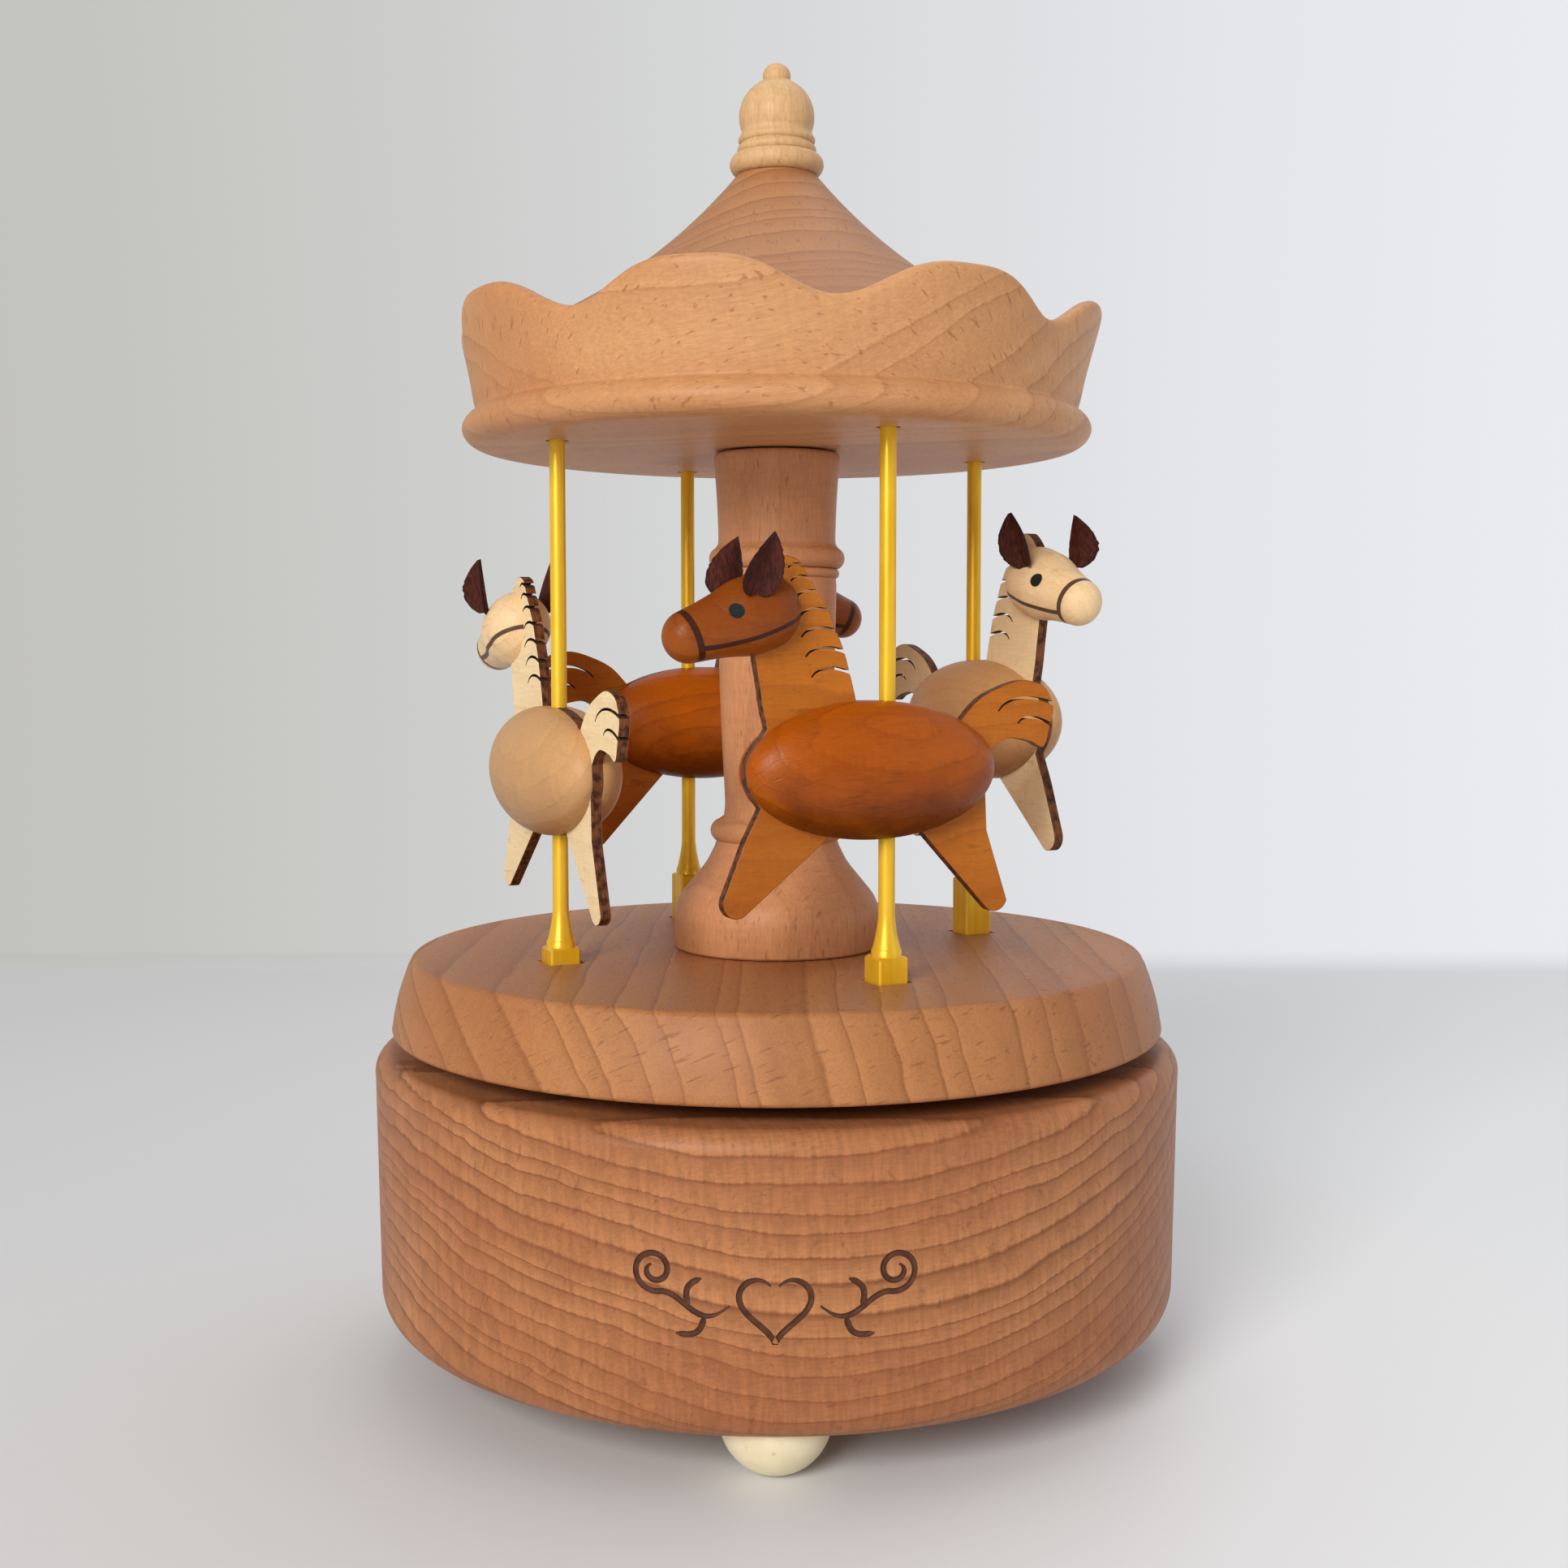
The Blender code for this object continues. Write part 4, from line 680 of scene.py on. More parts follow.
def makeCone():
    low, high = extent("roof_cone")
    radius, bottom, top = high[0], low[2], high[2]
    rim = bottom + coneForm["edge"]
    t = np.linspace(0, 1, 44)
    # the slope steepens upwards: the height grows as 0.7 t + 0.3 t cubed
    rise = rim + (top - rim) * (0.7 * t + 0.3 * t**3)
    flare = np.stack([radius - (radius - coneForm["topRadius"]) * t, rise], -1)
    profile = np.vstack([[(0, bottom), (radius - 0.3, bottom), (radius, bottom + 0.3)], flare, [(0, top)]])
    finish = woodMaterial("beechCone", coneTones)[0]
    cone = makeTurned("turnedCone", profile, coneForm["segments"], finish)
    settle(cone, "carousel", "beech", "roof_cone")
    return top


def makeFinial(foot):
    top = extent("finial")[1][2]
    bottom = foot + 0.1
    profile = [(0, bottom), (5.0, bottom)]
    profile += list(arcLine((4.95, bottom + 1.5), 1.55, -78, 60, 16))
    profile += list(arcLine((4.75, bottom + 3.5), 0.72, -62, 62, 10))
    profile += list(arcLine((4.72, bottom + 4.85), 0.6, -62, 62, 10))
    ball, knob = bottom + 8.0, top - 1.75
    profile += list(arcLine((0, ball), 5.2, -22, 58, 26))
    profile += list(smoothLine([(2.25, ball + 4.72), (1.86, ball + 4.98), (1.78, knob - 0.75)], 4))
    profile += list(np.array((0, knob)) + arcLine((0, 0), 1, -24, 90, 18) * (1.93, 1.75))[:-1]
    profile += [(0, top)]
    finish = woodMaterial("paleFinial", finialTones)[0]
    finial = makeTurned("turnedFinial", profile, finialForm["segments"], finish, smooth=50)
    settle(finial, "carousel", "pale_wood", "finial")


makeFinial(makeCone())
print("roof ready")


# ball feet

ballForm = {"flat": 2.2, "segments": 96}


def makeBalls():
    material, tree, shader = newMaterial("creamBall")
    place = objectPlace(tree)
    cloud = stepBetween(tree, noiseAt(tree, scaled(tree, place, (160, 160, 160)), 3.0), 0.35, 0.7)
    speck = stepBetween(tree, noiseAt(tree, scaled(tree, place, (1400, 1400, 900)), 2.0), 0.66, 0.76)
    colour = mixed(tree, cloud, tint(240, 228, 194), tint(228, 212, 172))
    colour = overlay(tree, colour, speck, 0.45, tint(186, 158, 112))
    fill(tree, shader, {"Base Color": colour, "Roughness": 0.4})
    for number in range(1, 4):
        low, high = extent(f"ball_foot_{number}")
        middle, radius = (low + high) / 2, (high[0] - low[0]) / 2
        centre = high[2] - radius
        start = -math.degrees(math.acos(ballForm["flat"] / radius))
        profile = np.vstack([[(0, low[2])], arcLine((0, centre), radius, start, 90, 48)])
        profile[-1] = (0, high[2])
        points = turnedPoints(profile, ballForm["segments"])
        points[..., :2] += middle[:2]
        ball = makePiece(f"ballFoot{number}", points, gridFaces(len(profile), ballForm["segments"]), material)
        settle(ball, "root", "cream_wood", f"ball_foot_{number}")


makeBalls()


# horses: places are (forward, to the left, up) from the pole's axis at the body's middle

horseForm = {
    "bodyMiddle": 2.5, "bodyLength": 34.8, "bodyHeight": 17.4, "bodyWidth": 14.2, "ply": 1.5, "chamfer": 0.1,
    "neck": [(17.0, 5.4), (17.6, 8.0), (18.0, 10.6), (18.7, 14.6), (19.3, 19.0)],
    "poll": [(19.0, 22.0), (17.6, 24.6), (15.8, 26.2), (14.2, 26.4)],
    "mane": [(14.2, 26.4), (12.7, 25.8), (11.6, 24.3), (10.1, 22.0), (8.7, 19.9), (7.6, 17.4), (6.5, 14.9),
             (5.7, 12.2), (5.0, 9.6), (4.7, 8.2)],
    "tail": [(-10.0, 5.6), (-12.8, 8.5), (-15.9, 10.1), (-19.6, 11.1), (-22.7, 10.4), (-24.0, 8.8),
             (-24.4, 7.3), (-23.9, 5.2), (-22.9, 2.4), (-20.9, 3.1), (-17.8, 3.6), (-15.9, 2.9),
             (-14.6, 1.6)],
    "maneCuts": [((11.7, 24.6), (14.2, 24.9)), ((11.1, 23.3), (13.8, 23.3)), ((9.9, 21.6), (13.1, 21.3)),
                 ((8.5, 19.4), (12.7, 18.9)), ((7.4, 16.9), (12.4, 16.5)), ((6.4, 14.4), (11.8, 14.1)),
                 ((5.5, 11.8), (11.0, 11.6))],
    "tailCuts": [((-24.35, 7.7), (-15.9, 7.1)), ((-23.7, 5.1), (-18.9, 5.5))],
    "cutWidth": 0.34, "arch": [(0.0, 0.0), (0.2, 0.55), (0.45, 0.95), (0.7, 1.0), (0.9, 0.6), (1.0, 0.0)],
    "hoof": 1.9, "frontHoof": (21.0, -15.8), "hindHoof": (-15.6, -16.9),
}


def horsePlace(number):
    # axis of the pole, height of the body's middle, and the directions forward and to the left
    low, high = extent(f"horse_{number}_flank_outer")
    axis = polePlaces[number - 1]
    left = axis / np.linalg.norm(axis)
    return np.array((*axis, (low[2] + high[2]) / 2)), np.array((left[1], -left[0], 0)), np.array((*left, 0))


def intoWorld(points, number):
    middle, forward, left = horsePlace(number)
    return middle + np.asarray(points) @ np.array((forward, left, (0, 0, 1)))


def plankPlace(points, number):
    # each horse is cut from its own part of the plank
    return points + np.array((37, 91, 53)) * number


def horsePiece(name, number, points, faces, finish, slotName, *replaced, extra=None, smooth=40):
    # keeps each point's place on the horse as an attribute, so that grain and paint turn with it
    points = np.asarray(points, float).reshape(-1, 3)
    attributes = {"onHorse": points, "inPlank": plankPlace(points, number)}
    attributes.update(extra or {})
    piece = makePiece(name, intoWorld(points, number), faces, finish, attributes, smooth)
    return settle(piece, f"horse_{number}", slotName, *replaced)


def bodyEdge(start, end, steps):
    # the flank's outline, an ellipse, angles in degrees from the front
    size = np.array((horseForm["bodyLength"], horseForm["bodyHeight"])) / 2
    return arcLine((0, 0), 1, start, end, steps) * size + (horseForm["bodyMiddle"], 0)


def horseOutline():
    form = horseForm
    lines = [smoothLine(form["neck"], 4), smoothLine(form["poll"], 4)[:-1], smoothLine(form["mane"], 5),
             bodyEdge(88, 132, 10), smoothLine(form["tail"], 5), bodyEdge(184, 198, 4), [(-14.3, -8.2)],
             arcLine(form["hindHoof"], form["hoof"], 196, 318, 12), bodyEdge(246, 290, 10),
             arcLine(form["frontHoof"], form["hoof"], 222, 382, 14), [(19.9, -8.2), (17.9, -4.4)],
             bodyEdge(-24, 30, 12)]
    return np.vstack(lines)


def atLevel(line, level):
    # a line drawn on the board's face, laid at one distance from its middle plane
    return np.stack([line[:, 0], np.full(len(line), level), line[:, 1]], -1)


def cutSlits(board, number):
    # saw cuts in the mane and tail: each is an arch from beyond the edge to its tip, thinning on the way in
    middle, forward, left = horsePlace(number)
    arch, deep = np.array(horseForm["arch"]), horseForm["ply"]
    points, faces = [], []
    for mouth, tip in horseForm["maneCuts"] + horseForm["tailCuts"]:
        reach = np.array(tip) - mouth
        start = mouth - 0.7 * reach / np.linalg.norm(reach)
        rise = arch[:, 1:] * (0.3 + 0.13 * np.linalg.norm(reach)) * np.array((0, 1))
        path = smoothLine(start + arch[:, :1] * (tip - start) + rise, 3)
        along = np.gradient(path, axis=0)
        along /= np.linalg.norm(along, axis=1, keepdims=True)
        half = horseForm["cutWidth"] / 2 * np.linspace(1.5, 0.6, len(path))[:, None]
        aside = np.stack([-along[:, 1], along[:, 0]], -1) * half
        corners = [(path + aside, deep), (path - aside, deep), (path - aside, -deep), (path + aside, -deep)]
        ring = np.stack([atLevel(line, level) for line, level in corners], 1)
        first = sum(len(part) for part in points)
        strip = gridFaces(len(path), 4).tolist() + [[0, 1, 2, 3], [4 * len(path) - 1 - k for k in range(4)]]
        faces += [[first + k for k in face] for face in strip]
        points.append(ring.reshape(-1, 3))
    cutter = makePiece("slitCutter", intoWorld(np.vstack(points), number), faces, board.data.materials[0])
    cutter.data.materials.append(slitFinish)
    cutter.data.polygons.foreach_set("material_index", np.ones(len(cutter.data.polygons), np.int32))
    board.data.materials.append(slitFinish)
    cutAway(board, cutter, 30)
    place = np.empty(3 * len(board.data.vertices))
    board.data.vertices.foreach_get("co", place)
    offset = place.reshape(-1, 3) / mm - middle
    onHorse = np.stack([offset @ forward, offset @ left, offset[:, 2]], -1)
    burn = np.clip((horseForm["ply"] / 2 - np.abs(onHorse[:, 1])) / horseForm["chamfer"], 0, 1)
    setAttributes(board.data, {"onHorse": onHorse, "inPlank": plankPlace(onHorse, number), "burn": burn})


def insetOutline(outline, width):
    # each point moves inwards along the mean normal of its two edges; shorter where the corner is sharp
    before, after = np.roll(outline, 1, 0), np.roll(outline, -1, 0)
    first, second = outline - before, after - outline
    first /= np.maximum(np.linalg.norm(first, axis=1, keepdims=True), 1e-9)
    second /= np.maximum(np.linalg.norm(second, axis=1, keepdims=True), 1e-9)
    normal = np.stack([-(first + second)[:, 1], (first + second)[:, 0]], -1)
    length = np.linalg.norm(normal, axis=1, keepdims=True)
    normal = np.where(length > 0.3, normal / np.maximum(length, 1e-9), 0)
    return outline + normal * width


plankTones = dict(
    beechTones, grain=(0, 90, 0), pith=(0, 60, -40), spacing=3.0, waviness=6.0, rayDepth=0.3, poreDepth=0.25,
    rayLength=3.0)
boardTones = {
    "stained": dict(
        plankTones, light=(192, 112, 26), dark=(136, 66, 8), warm=(156, 78, 12), ray=(108, 50, 14),
        ringDepth=0.35, driftDepth=0.7, fibreDepth=0.06, roughness=0.42, rippleDepth=0.03),
    "plain": dict(
        plankTones, light=(238, 212, 168), dark=(212, 178, 128), warm=(230, 198, 150), ray=(180, 138, 90),
        ringDepth=0.3, driftDepth=0.4, fibreDepth=0.05, roughness=0.6, rippleDepth=0.02),
}
turned = {"waviness": 3.0, "spacing": 2.2, "pith": (0, 14, -9)}
flankTones = {
    "stained": dict(
        boardTones["stained"], light=(194, 98, 12), dark=(124, 50, 2), warm=(146, 64, 4), ringDepth=0.4,
        driftDepth=0.85, roughness=0.36, shine=0.2, patchAndShadeDepth=0.8, **turned),
    "plain": dict(
        boardTones["plain"], light=(203, 156, 106), dark=(166, 116, 72), warm=(188, 139, 90),
        ringDepth=0.25, roughness=0.42, patchAndShadeDepth=0.35, **turned),
}
headTones = {
    "stained": dict(flankTones["stained"], light=(158, 82, 18), dark=(101, 44, 6), warm=(124, 56, 10)),
    "plain": dict(flankTones["plain"], light=(236, 204, 158), dark=(208, 164, 112), warm=(226, 186, 138)),
}
paint = {"eye": (22.4, 19.55), "eyeSize": 0.9, "noseband": ((28.2, 19.4), (25.9, 13.7)), "band": 0.42,
         "strapStart": (26.0, 15.1), "strapRise": (-0.1, 0.017), "strap": 0.3}


def fromPlank(tree):
    return attributeOf(tree, "inPlank")


def patchyStainAndShade(tree, colour, tones):
    patch = noiseAt(tree, scaled(tree, attributeOf(tree, "inPlank"), (0.16, 0.3, 0.22)), 3.0, 0.6)
    # darker towards the underside: painted shade, added to the random patches where the stain took unevenly
    up = partsOf(tree, attributeOf(tree, "onHorse"))[2]
    level = plus(tree, times(tree, up, 0.09), patch)
    deep = tint(*(channel * 0.62 for channel in tones["dark"]))
    return mixed(tree, stepBetween(tree, level, 0.75, -0.35, 0.0, tones["patchAndShadeDepth"]), colour, deep)


def makeBoardMaterial(kind):
    # the laser leaves the edge brown to black, darker in patches, with the plies showing as bands
    material, tree, shader, colour = woodMaterial(f"board{kind.title()}", boardTones[kind], fromPlank)
    burn = attributeOf(tree, "burn", "Fac")
    across = partsOf(tree, attributeOf(tree, "onHorse"))[1]
    smoke = noiseAt(tree, scaled(tree, attributeOf(tree, "inPlank"), (1.1, 1.1, 1.1)), 3.0)
    plies = calc(tree, "ABSOLUTE", calc(tree, "SINE", times(tree, across, 6.2)))
    edge = mixed(tree, stepBetween(tree, smoke, 0.3, 0.66), tint(52, 26, 16), tint(128, 74, 40))
    edge = mixed(tree, times(tree, plies, 0.35), edge, tint(40, 20, 12))
    depth = stepBetween(tree, plus(tree, burn, times(tree, smoke, 0.3)), 0.3, 0.8)
    tree.links.new(mixed(tree, depth, colour, edge), shader.inputs["Base Color"])
    return material


def makeFlankMaterial(kind):
    # the stain takes unevenly in soft patches, and the underside is painted darker as shade
    material, tree, shader, colour = woodMaterial(f"flank{kind.title()}", flankTones[kind], fromPlank)
    tree.links.new(patchyStainAndShade(tree, colour, flankTones[kind]), shader.inputs["Base Color"])
    return material


def drawn(tree, away, reach, soft):
    # one within the reach and nothing beyond it, with a soft edge
    return stepBetween(tree, away, reach - soft, reach + soft, 1.0, 0.0)


def makeHeadMaterial(kind):
    # two eyes, a noseband and a cheek strap drawn on the turned head
    material, tree, shader, colour = woodMaterial(f"head{kind.title()}", headTones[kind], fromPlank)
    parts = partsOf(tree, attributeOf(tree, "onHorse"))
    forward, up = parts[0], parts[2]
    offU = minus(tree, forward, paint["eye"][0])
    offV = minus(tree, up, paint["eye"][1])
    away = distance(tree, offU, offV)
    eye = drawn(tree, away, paint["eyeSize"], 0.08)
    (topU, topV), (lowU, lowV) = paint["noseband"]
    run = math.hypot(lowU - topU, lowV - topV)
    side = times(tree, minus(tree, forward, topU), (lowV - topV) / run)
    side = minus(tree, side, times(tree, minus(tree, up, topV), (lowU - topU) / run))
    band = drawn(tree, calc(tree, "ABSOLUTE", side), paint["band"], 0.07)
    back = minus(tree, forward, paint["strapStart"][0])
    line = plus(tree, paint["strapRise"][0], times(tree, back, paint["strapRise"][1]))
    line = times(tree, line, back)
    gap = calc(tree, "ABSOLUTE", minus(tree, minus(tree, up, paint["strapStart"][1]), line))
    strap = drawn(tree, gap, paint["strap"], 0.07)
    behind = stepBetween(tree, forward, paint["strapStart"][0] + 0.3, paint["strapStart"][0] + 0.6, 1.0, 0.0)
    bridle = calc(tree, "MAXIMUM", band, times(tree, strap, behind))
    colour = overlay(tree, colour, bridle, 0.92, tint(46, 22, 17))
    colour = mixed(tree, eye, colour, tint(26, 30, 32))
    tree.links.new(colour, shader.inputs["Base Color"])
    return material


def makeLeather():
    material, tree, shader = newMaterial("earLeather")
    place = attributeOf(tree, "inPlank")
    hair = noiseAt(tree, scaled(tree, place, (3.0, 3.0, 0.8)), 4.0, 0.65)
    blotch = noiseAt(tree, scaled(tree, place, (0.8, 0.8, 0.8)), 2.0)
    colour = mixed(tree, stepBetween(tree, hair, 0.35, 0.7), tint(48, 19, 14), tint(92, 40, 27))
    colour = overlay(tree, colour, stepBetween(tree, blotch, 0.4, 0.7), 0.5, tint(70, 29, 20))
    rim = stepBetween(tree, attributeOf(tree, "rim", "Fac"), 0.86, 1.0)
    colour = overlay(tree, colour, rim, 0.7, tint(44, 20, 18))
    tree.links.new(colour, shader.inputs["Base Color"])
    bumpBy(tree, shader, hair, 0.6, 0.0003)
    fill(tree, shader, {"Roughness": 0.75, "Specular IOR Level": 0.2})
    return material


def makeGold():
    material, tree, shader = newMaterial("goldPlastic")
    place = objectPlace(tree)
    streak = noiseAt(tree, scaled(tree, place, (1500, 1500, 60)), 2.0)
    cloud = noiseAt(tree, scaled(tree, place, (260, 260, 90)), 2.0)
    colour = mixed(tree, stepBetween(tree, cloud, 0.35, 0.65), tint(240, 184, 26), tint(248, 200, 50))
    colour = overlay(tree, colour, stepBetween(tree, streak, 0.4, 0.7), 0.25, tint(206, 142, 12))
    fill(tree, shader, {
        "Base Color": colour,
        "Roughness": stepBetween(tree, streak, 0.3, 0.7, 0.28, 0.42),
        "Metallic": 0.35,
    })
    return material


def makeBurntSlit():
    material, tree, shader = newMaterial("burntSlit")
    smoke = noiseAt(tree, scaled(tree, objectPlace(tree), (700, 700, 700)), 3.0)
    colour = mixed(tree, smoke, tint(34, 16, 10), tint(86, 46, 26))
    fill(tree, shader, {"Base Color": colour, "Roughness": 0.8})
    return material


slitFinish = makeBurntSlit()
leatherFinish = makeLeather()
goldFinish = makeGold()
horseFinishes = {}
for kind in ("stained", "plain"):
    horseFinishes[kind] = {
        "board": makeBoardMaterial(kind),
        "flank": makeFlankMaterial(kind),
        "head": makeHeadMaterial(kind),
    }
horseLine = horseOutline()


def makeBoard(number, kind, slotName):
    # the outline at both faces, set in by the chamfer there, and closed by one flat face on each side
    half, chamfer = horseForm["ply"] / 2, horseForm["chamfer"]
    inner = insetOutline(horseLine, chamfer)
    count = len(horseLine)
    layers = []
    for line, across in ((inner, -half), (horseLine, -half + chamfer), (horseLine, 0),
                         (horseLine, half - chamfer), (inner, half)):
        layers.append(atLevel(line, across))
    faces = gridFaces(5, count).tolist()
    faces += [list(range(count)), list(range(5 * count - 1, 4 * count - 1, -1))]
    finish = horseFinishes[kind]["board"]
    board = horsePiece(f"horse{number}Board", number, np.vstack(layers), faces, finish, slotName,
                       f"horse_{number}_profile", smooth=30)
    cutSlits(board, number)


def makeFlank(number, kind, slotName, name, side):
    # half an egg: at latitude a and longitude b it stands cos a cos b along, cos a sin b up and sin a out
    form = horseForm
    start = form["ply"] / 2 + 0.05
    rise = form["bodyWidth"] / 2 - start
    a = np.linspace(0, math.pi / 2, 40)[:, None]
    b = np.linspace(0, tau, 96, endpoint=False)[None, :]
    forward = form["bodyMiddle"] + form["bodyLength"] / 2 * np.cos(a) * np.cos(b)
    up = form["bodyHeight"] / 2 * np.cos(a) * np.sin(b)
    out = side * (start + rise * np.sin(a)) + 0 * b
    dome = np.stack([forward, out, up], -1)
    flat = np.stack([form["bodyMiddle"] + 0 * b, side * start + 0 * b, 0 * b], -1)
    points = np.concatenate([flat, dome])
    finish = horseFinishes[kind]["flank"]
    horsePiece(f"horse{number}Flank{name}", number, points, gridFaces(41, 96), finish, slotName,
               f"horse_{number}_flank_{name.lower()}")


headForm = {
    "centre": (17.4, 19.6), "radius": 4.8, "muzzle": (27.0, 16.55), "muzzleRadius": 3.25, "narrow": 0.96,
}


def makeHead(number, kind, slotName):
    # turned about the line from the big end's centre to the muzzle's; the two spheres are joined by a taper
    form = headForm
    centre, muzzle = np.array(form["centre"]), np.array(form["muzzle"])
    reach = np.linalg.norm(muzzle - centre)
    axis = (muzzle - centre) / reach
    big, small = form["radius"], form["muzzleRadius"]
    back = arcLine((0, 0), big, 180, 84, 24)
    front = arcLine((reach, 0), small, 76, 0, 20)
    taper = [(0.28 * reach, 0.985 * big), (0.55 * reach, 0.84 * big), (0.8 * reach, 0.4 * big + 0.5 * small)]
    middle = smoothLine([back[-1], *taper, front[0]], 6)
    line = np.vstack([back[:-1], middle, front[1:]])
    line[0, 1] = line[-1, 1] = 0
    angles = np.linspace(0, tau, 72, endpoint=False)[None, :]
    along, width = line[:, :1], line[:, 1:]
    side = width * np.cos(angles)
    rise = width * np.sin(angles)
    forward = centre[0] + axis[0] * along - axis[1] * rise
    up = centre[1] + axis[1] * along + axis[0] * rise
    points = np.stack([forward, form["narrow"] * side, up], -1)
    finish = horseFinishes[kind]["head"]
    horsePiece(f"horse{number}Head", number, points, gridFaces(len(line), 72), finish, slotName,
               f"horse_{number}_head")


earForm = {
    "length": 7.6, "width": 5.3, "cup": 1.3, "thickness": 0.55, "foot": (19.7, 3.7, 21.5), "splay": 20,
    "lean": 5, "rows": 30, "columns": 17,
}


def makeEar(number, name, side):
    # a cupped leaf: width swells and runs to a point, the cross-section is a parabola, and the edge is ragged
    form = earForm
    rows, columns = form["rows"], form["columns"]
    t = np.linspace(0, 1, rows)[:, None]
    s = np.linspace(-1, 1, columns)[None, :]
    ragged = np.random.default_rng(10 * number + (side > 0)).normal(0, 0.03, (rows, 1))
    leaf = 2.5 * (t + 0.06) ** 0.6 * (1 - t) ** 0.88 + ragged * np.sin(math.pi * t)
    width = form["width"] / 2 * np.maximum(leaf, 0.03)
    across = width * s + side * (0.5 - 1.4 * t**2)
    cup = form["cup"] * s**2 * (width / (form["width"] / 2)) + 0.5 * np.sin(3 * t) * s
    rise = form["length"] * t + 0 * s
    curl = -0.9 * t**2 + 0 * s
    sheets = []
    for offset in (-0.5, 0.5):
        thick = form["thickness"] * offset * (1 - 0.5 * np.abs(s) ** 4)
        sheets.append(np.stack([across, cup + curl + thick, rise], -1))
    points = np.concatenate(sheets)
    grid, count = gridFaces(rows, columns, False, False), rows * columns
    faces = np.concatenate([grid, grid + count]).tolist()
    # the two sheets are joined by quads round their border
    place = np.arange(count).reshape(rows, columns)
    border = np.concatenate([place[0], place[1:, -1], place[-1, -2::-1], place[-2:0:-1, 0]]).tolist()
    for first, second in zip(border, border[1:] + border[:1]):
        faces.append([first, second, second + count, first + count])
    turn = Matrix.Rotation(math.radians(-side * form["splay"]), 3, "X")
    turn = turn @ Matrix.Rotation(math.radians(-form["lean"]), 3, "Y")
    turn = turn @ Matrix.Rotation(math.pi if side < 0 else 0, 3, "Z")
    flat = points.reshape(-1, 3) @ np.array(turn).T
    foot = np.array(form["foot"]) * (1, side, 1)
    rim = np.concatenate([np.abs(s) + 0 * t, np.abs(s) + 0 * t]).ravel()
    horsePiece(f"horse{number}Ear{name}", number, flat + foot, faces, leatherFinish, "leather",
               f"horse_{number}_ear_{name.lower()}", extra={"rim": rim}, smooth=60)


poleForm = {"radius": 1.05, "block": 2.1, "ease": 0.25, "collar": 1.95, "rise": 5.3, "blockTop": -80.45,
            "segments": 40}


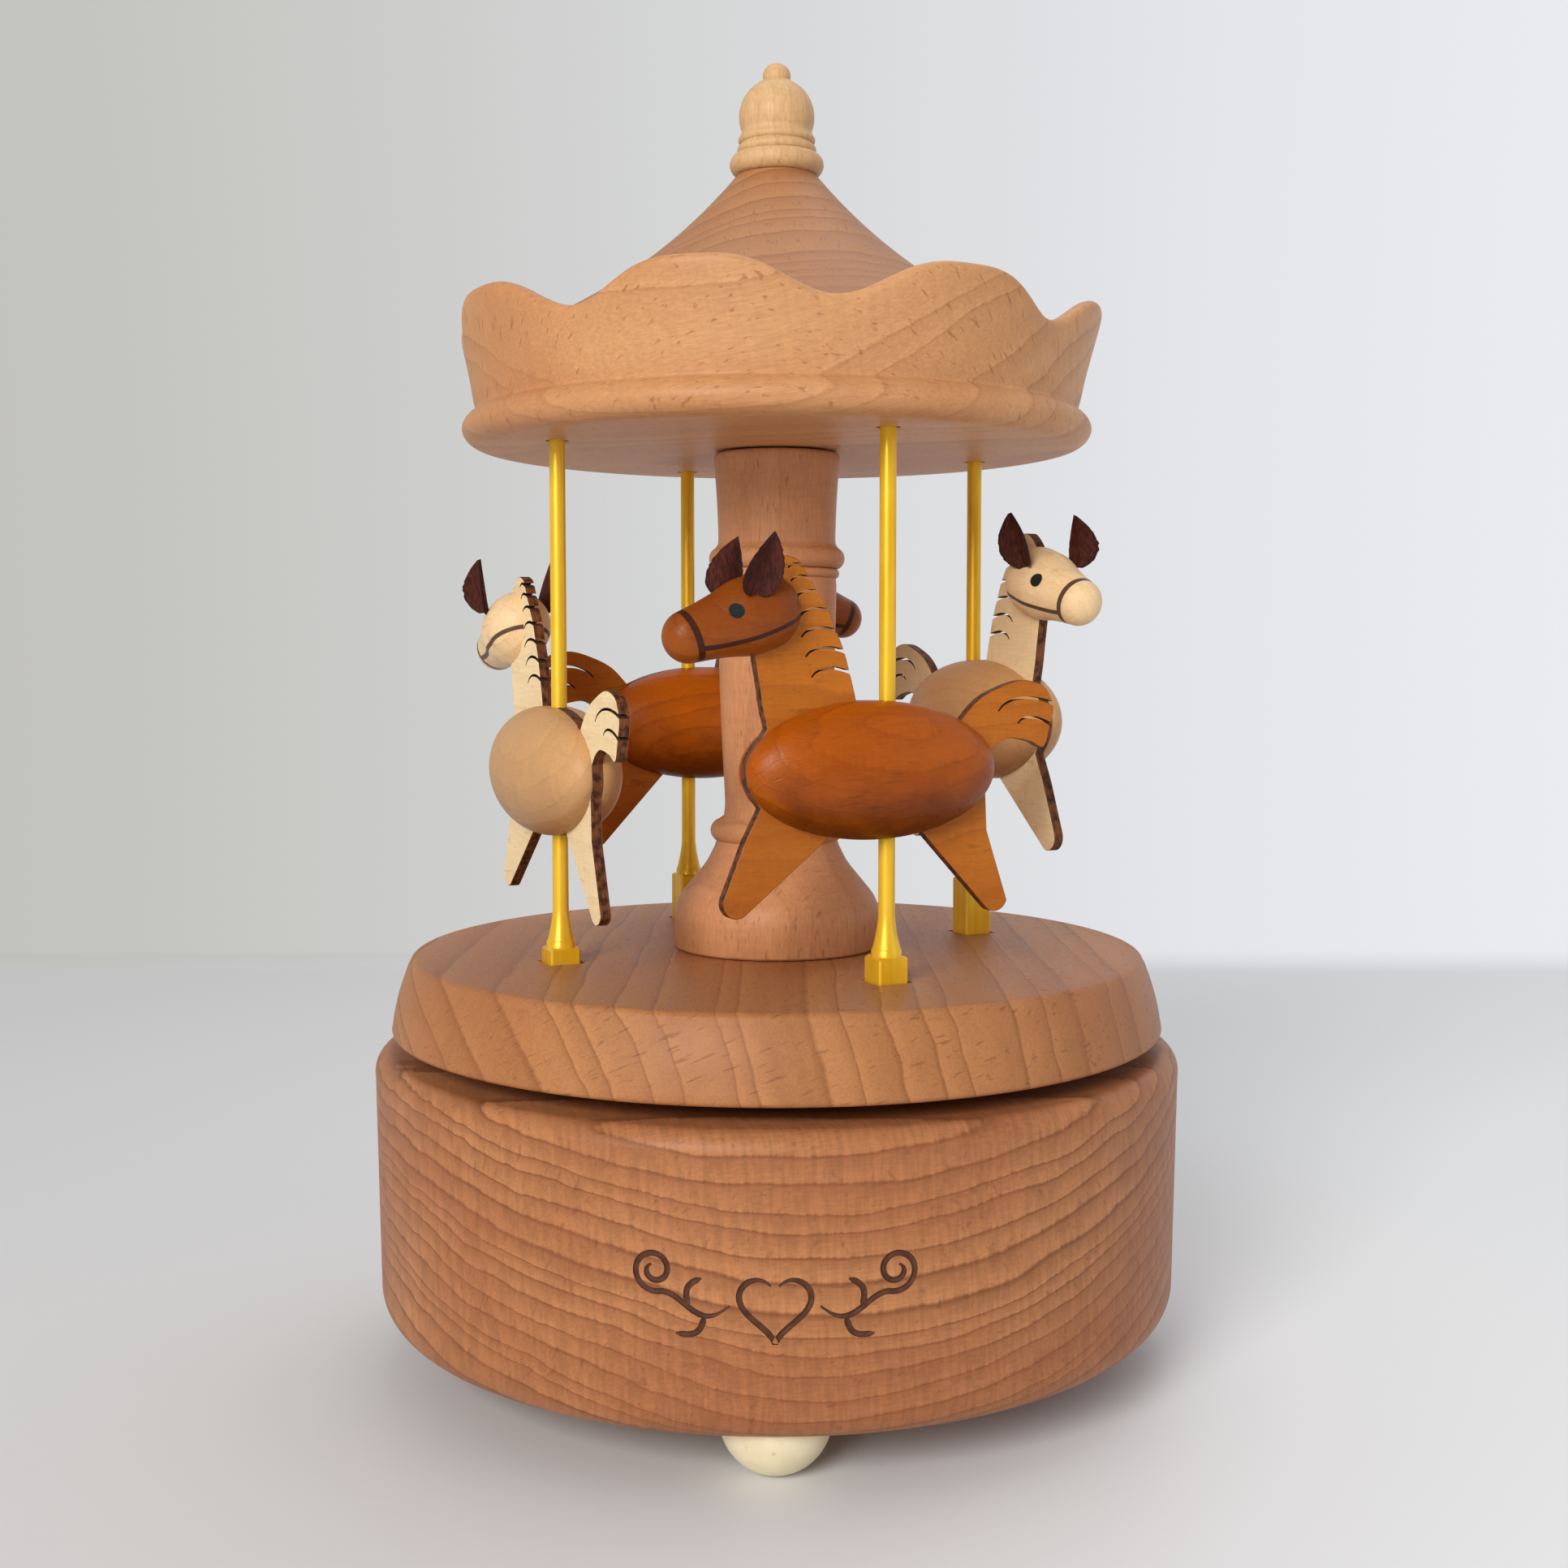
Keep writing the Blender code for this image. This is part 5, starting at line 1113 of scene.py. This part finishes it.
def makePole(number):
    # a plain rod above; below a shaft that flares to a collar on a square block with eased edges, whose top
    # stands at the same height on every horse, measured from the body's middle
    low, high = extent(f"horse_{number}_pole")
    middle = horsePlace(number)[0][2]
    radius = poleForm["radius"]
    bottom, top = low[2] - middle, high[2] - middle
    profile = [(0, bottom), (radius, bottom), (radius, top - 0.2), (radius - 0.2, top), (0, top)]
    rod, sides = turnedPoints(profile, poleForm["segments"]), poleForm["segments"]
    horsePiece(f"horse{number}Rod", number, rod, gridFaces(5, sides), goldFinish, "gold_plastic",
               f"horse_{number}_pole")
    low, high = extent(f"horse_{number}_pole_foot")
    blockTop = extent("platform")[1][2] + poleForm["blockTop"]
    blockLow, shaftTop = low[2] - middle, high[2] - middle
    collar, rise = poleForm["collar"], poleForm["rise"]
    base = [(0, -1), (collar, -1), (collar, 0.75), (collar - 0.1, 0.9)]
    t = np.linspace(0.05, 1, 14)
    flare = np.stack([radius + 0.02 + (collar - 0.15 - radius) * (1 - t) ** 1.5, 0.9 + (rise - 0.9) * t], -1)
    profile = np.vstack([np.vstack([base, flare]) + (0, blockTop), [(radius, shaftTop), (0, shaftTop)]])
    foot = turnedPoints(profile, sides)
    half, ease = poleForm["block"], poleForm["ease"]
    side = half - ease
    square = np.array([(half, side), (side, half), (-side, half), (-half, side),
                       (-half, -side), (-side, -half), (side, -half), (half, -side)])
    rings = []
    for inset, height in ((ease, blockTop), (0, blockTop - ease), (0, blockLow + ease), (ease, blockLow)):
        scale = (half - inset) / half
        rings.append(np.column_stack([square * scale, np.full(8, height)]))
    block = np.vstack(rings)
    faces = gridFaces(len(profile), sides).tolist()
    count = len(profile) * sides
    boxFaces = gridFaces(4, 8).tolist() + [list(range(8)), list(range(24, 32))]
    faces += [[corner + count for corner in face] for face in boxFaces]
    points = np.vstack([foot.reshape(-1, 3), block])
    horsePiece(f"horse{number}PoleFoot", number, points, faces, goldFinish, "gold_plastic",
               f"horse_{number}_pole_foot", smooth=35)


for number in range(1, 5):
    kind = "stained" if number % 2 else "plain"
    slotName = "stained_wood" if number % 2 else "pale_wood"
    makeBoard(number, kind, "stained_wood" if number % 2 else "plywood")
    for name, side in (("Outer", 1), ("Inner", -1)):
        makeFlank(number, kind, slotName, name, side)
        makeEar(number, name, side)
    makeHead(number, kind, slotName)
    makePole(number)
    print("horse", number, "ready")


# finishes of the pieces kept from the model

def makeMetal(name, colour, shade, roughness, brushed):
    # fine scratches across one direction, and patches where the polish is duller
    material, tree, shader = newMaterial(name)
    place = objectPlace(tree)
    scratch = noiseAt(tree, scaled(tree, place, brushed), 2.0)
    patch = noiseAt(tree, scaled(tree, place, (180, 180, 180)), 2.0)
    fill(tree, shader, {
        "Base Color": mixed(tree, stepBetween(tree, patch, 0.35, 0.7), tint(*colour), tint(*shade)),
        "Roughness": stepBetween(tree, scratch, 0.3, 0.7, roughness - 0.08, roughness + 0.12),
    })
    bumpBy(tree, shader, scratch, 0.2, 0.0001)
    shader.inputs["Metallic"].default_value = 1.0
    return material


coverTones = dict(
    beechTones, light=(224, 190, 144), dark=(196, 152, 104), warm=(212, 172, 124), pith=(0.0, 0.0, -0.09))
keptFinishes = {
    "brass": makeMetal("brassFinish", (214, 178, 104), (190, 150, 80), 0.28, (300, 2600, 2600)),
    "steel": makeMetal("steelFinish", (188, 190, 194), (166, 168, 172), 0.3, (2600, 300, 2600)),
    "cast_frame": makeMetal("castFinish", (160, 162, 166), (136, 138, 142), 0.5, (900, 900, 900)),
    "pale_wood": woodMaterial("palePlate", coverTones)[0],
}
slots = {part["node"]: part["material_slot"] for part in frame["record"]["subparts"]}
for name, node in frame["nodes"].items():
    if not node.hide_render:
        node.data.materials.clear()
        node.data.materials.append(keptFinishes[slots[name]])
print("finishes ready")
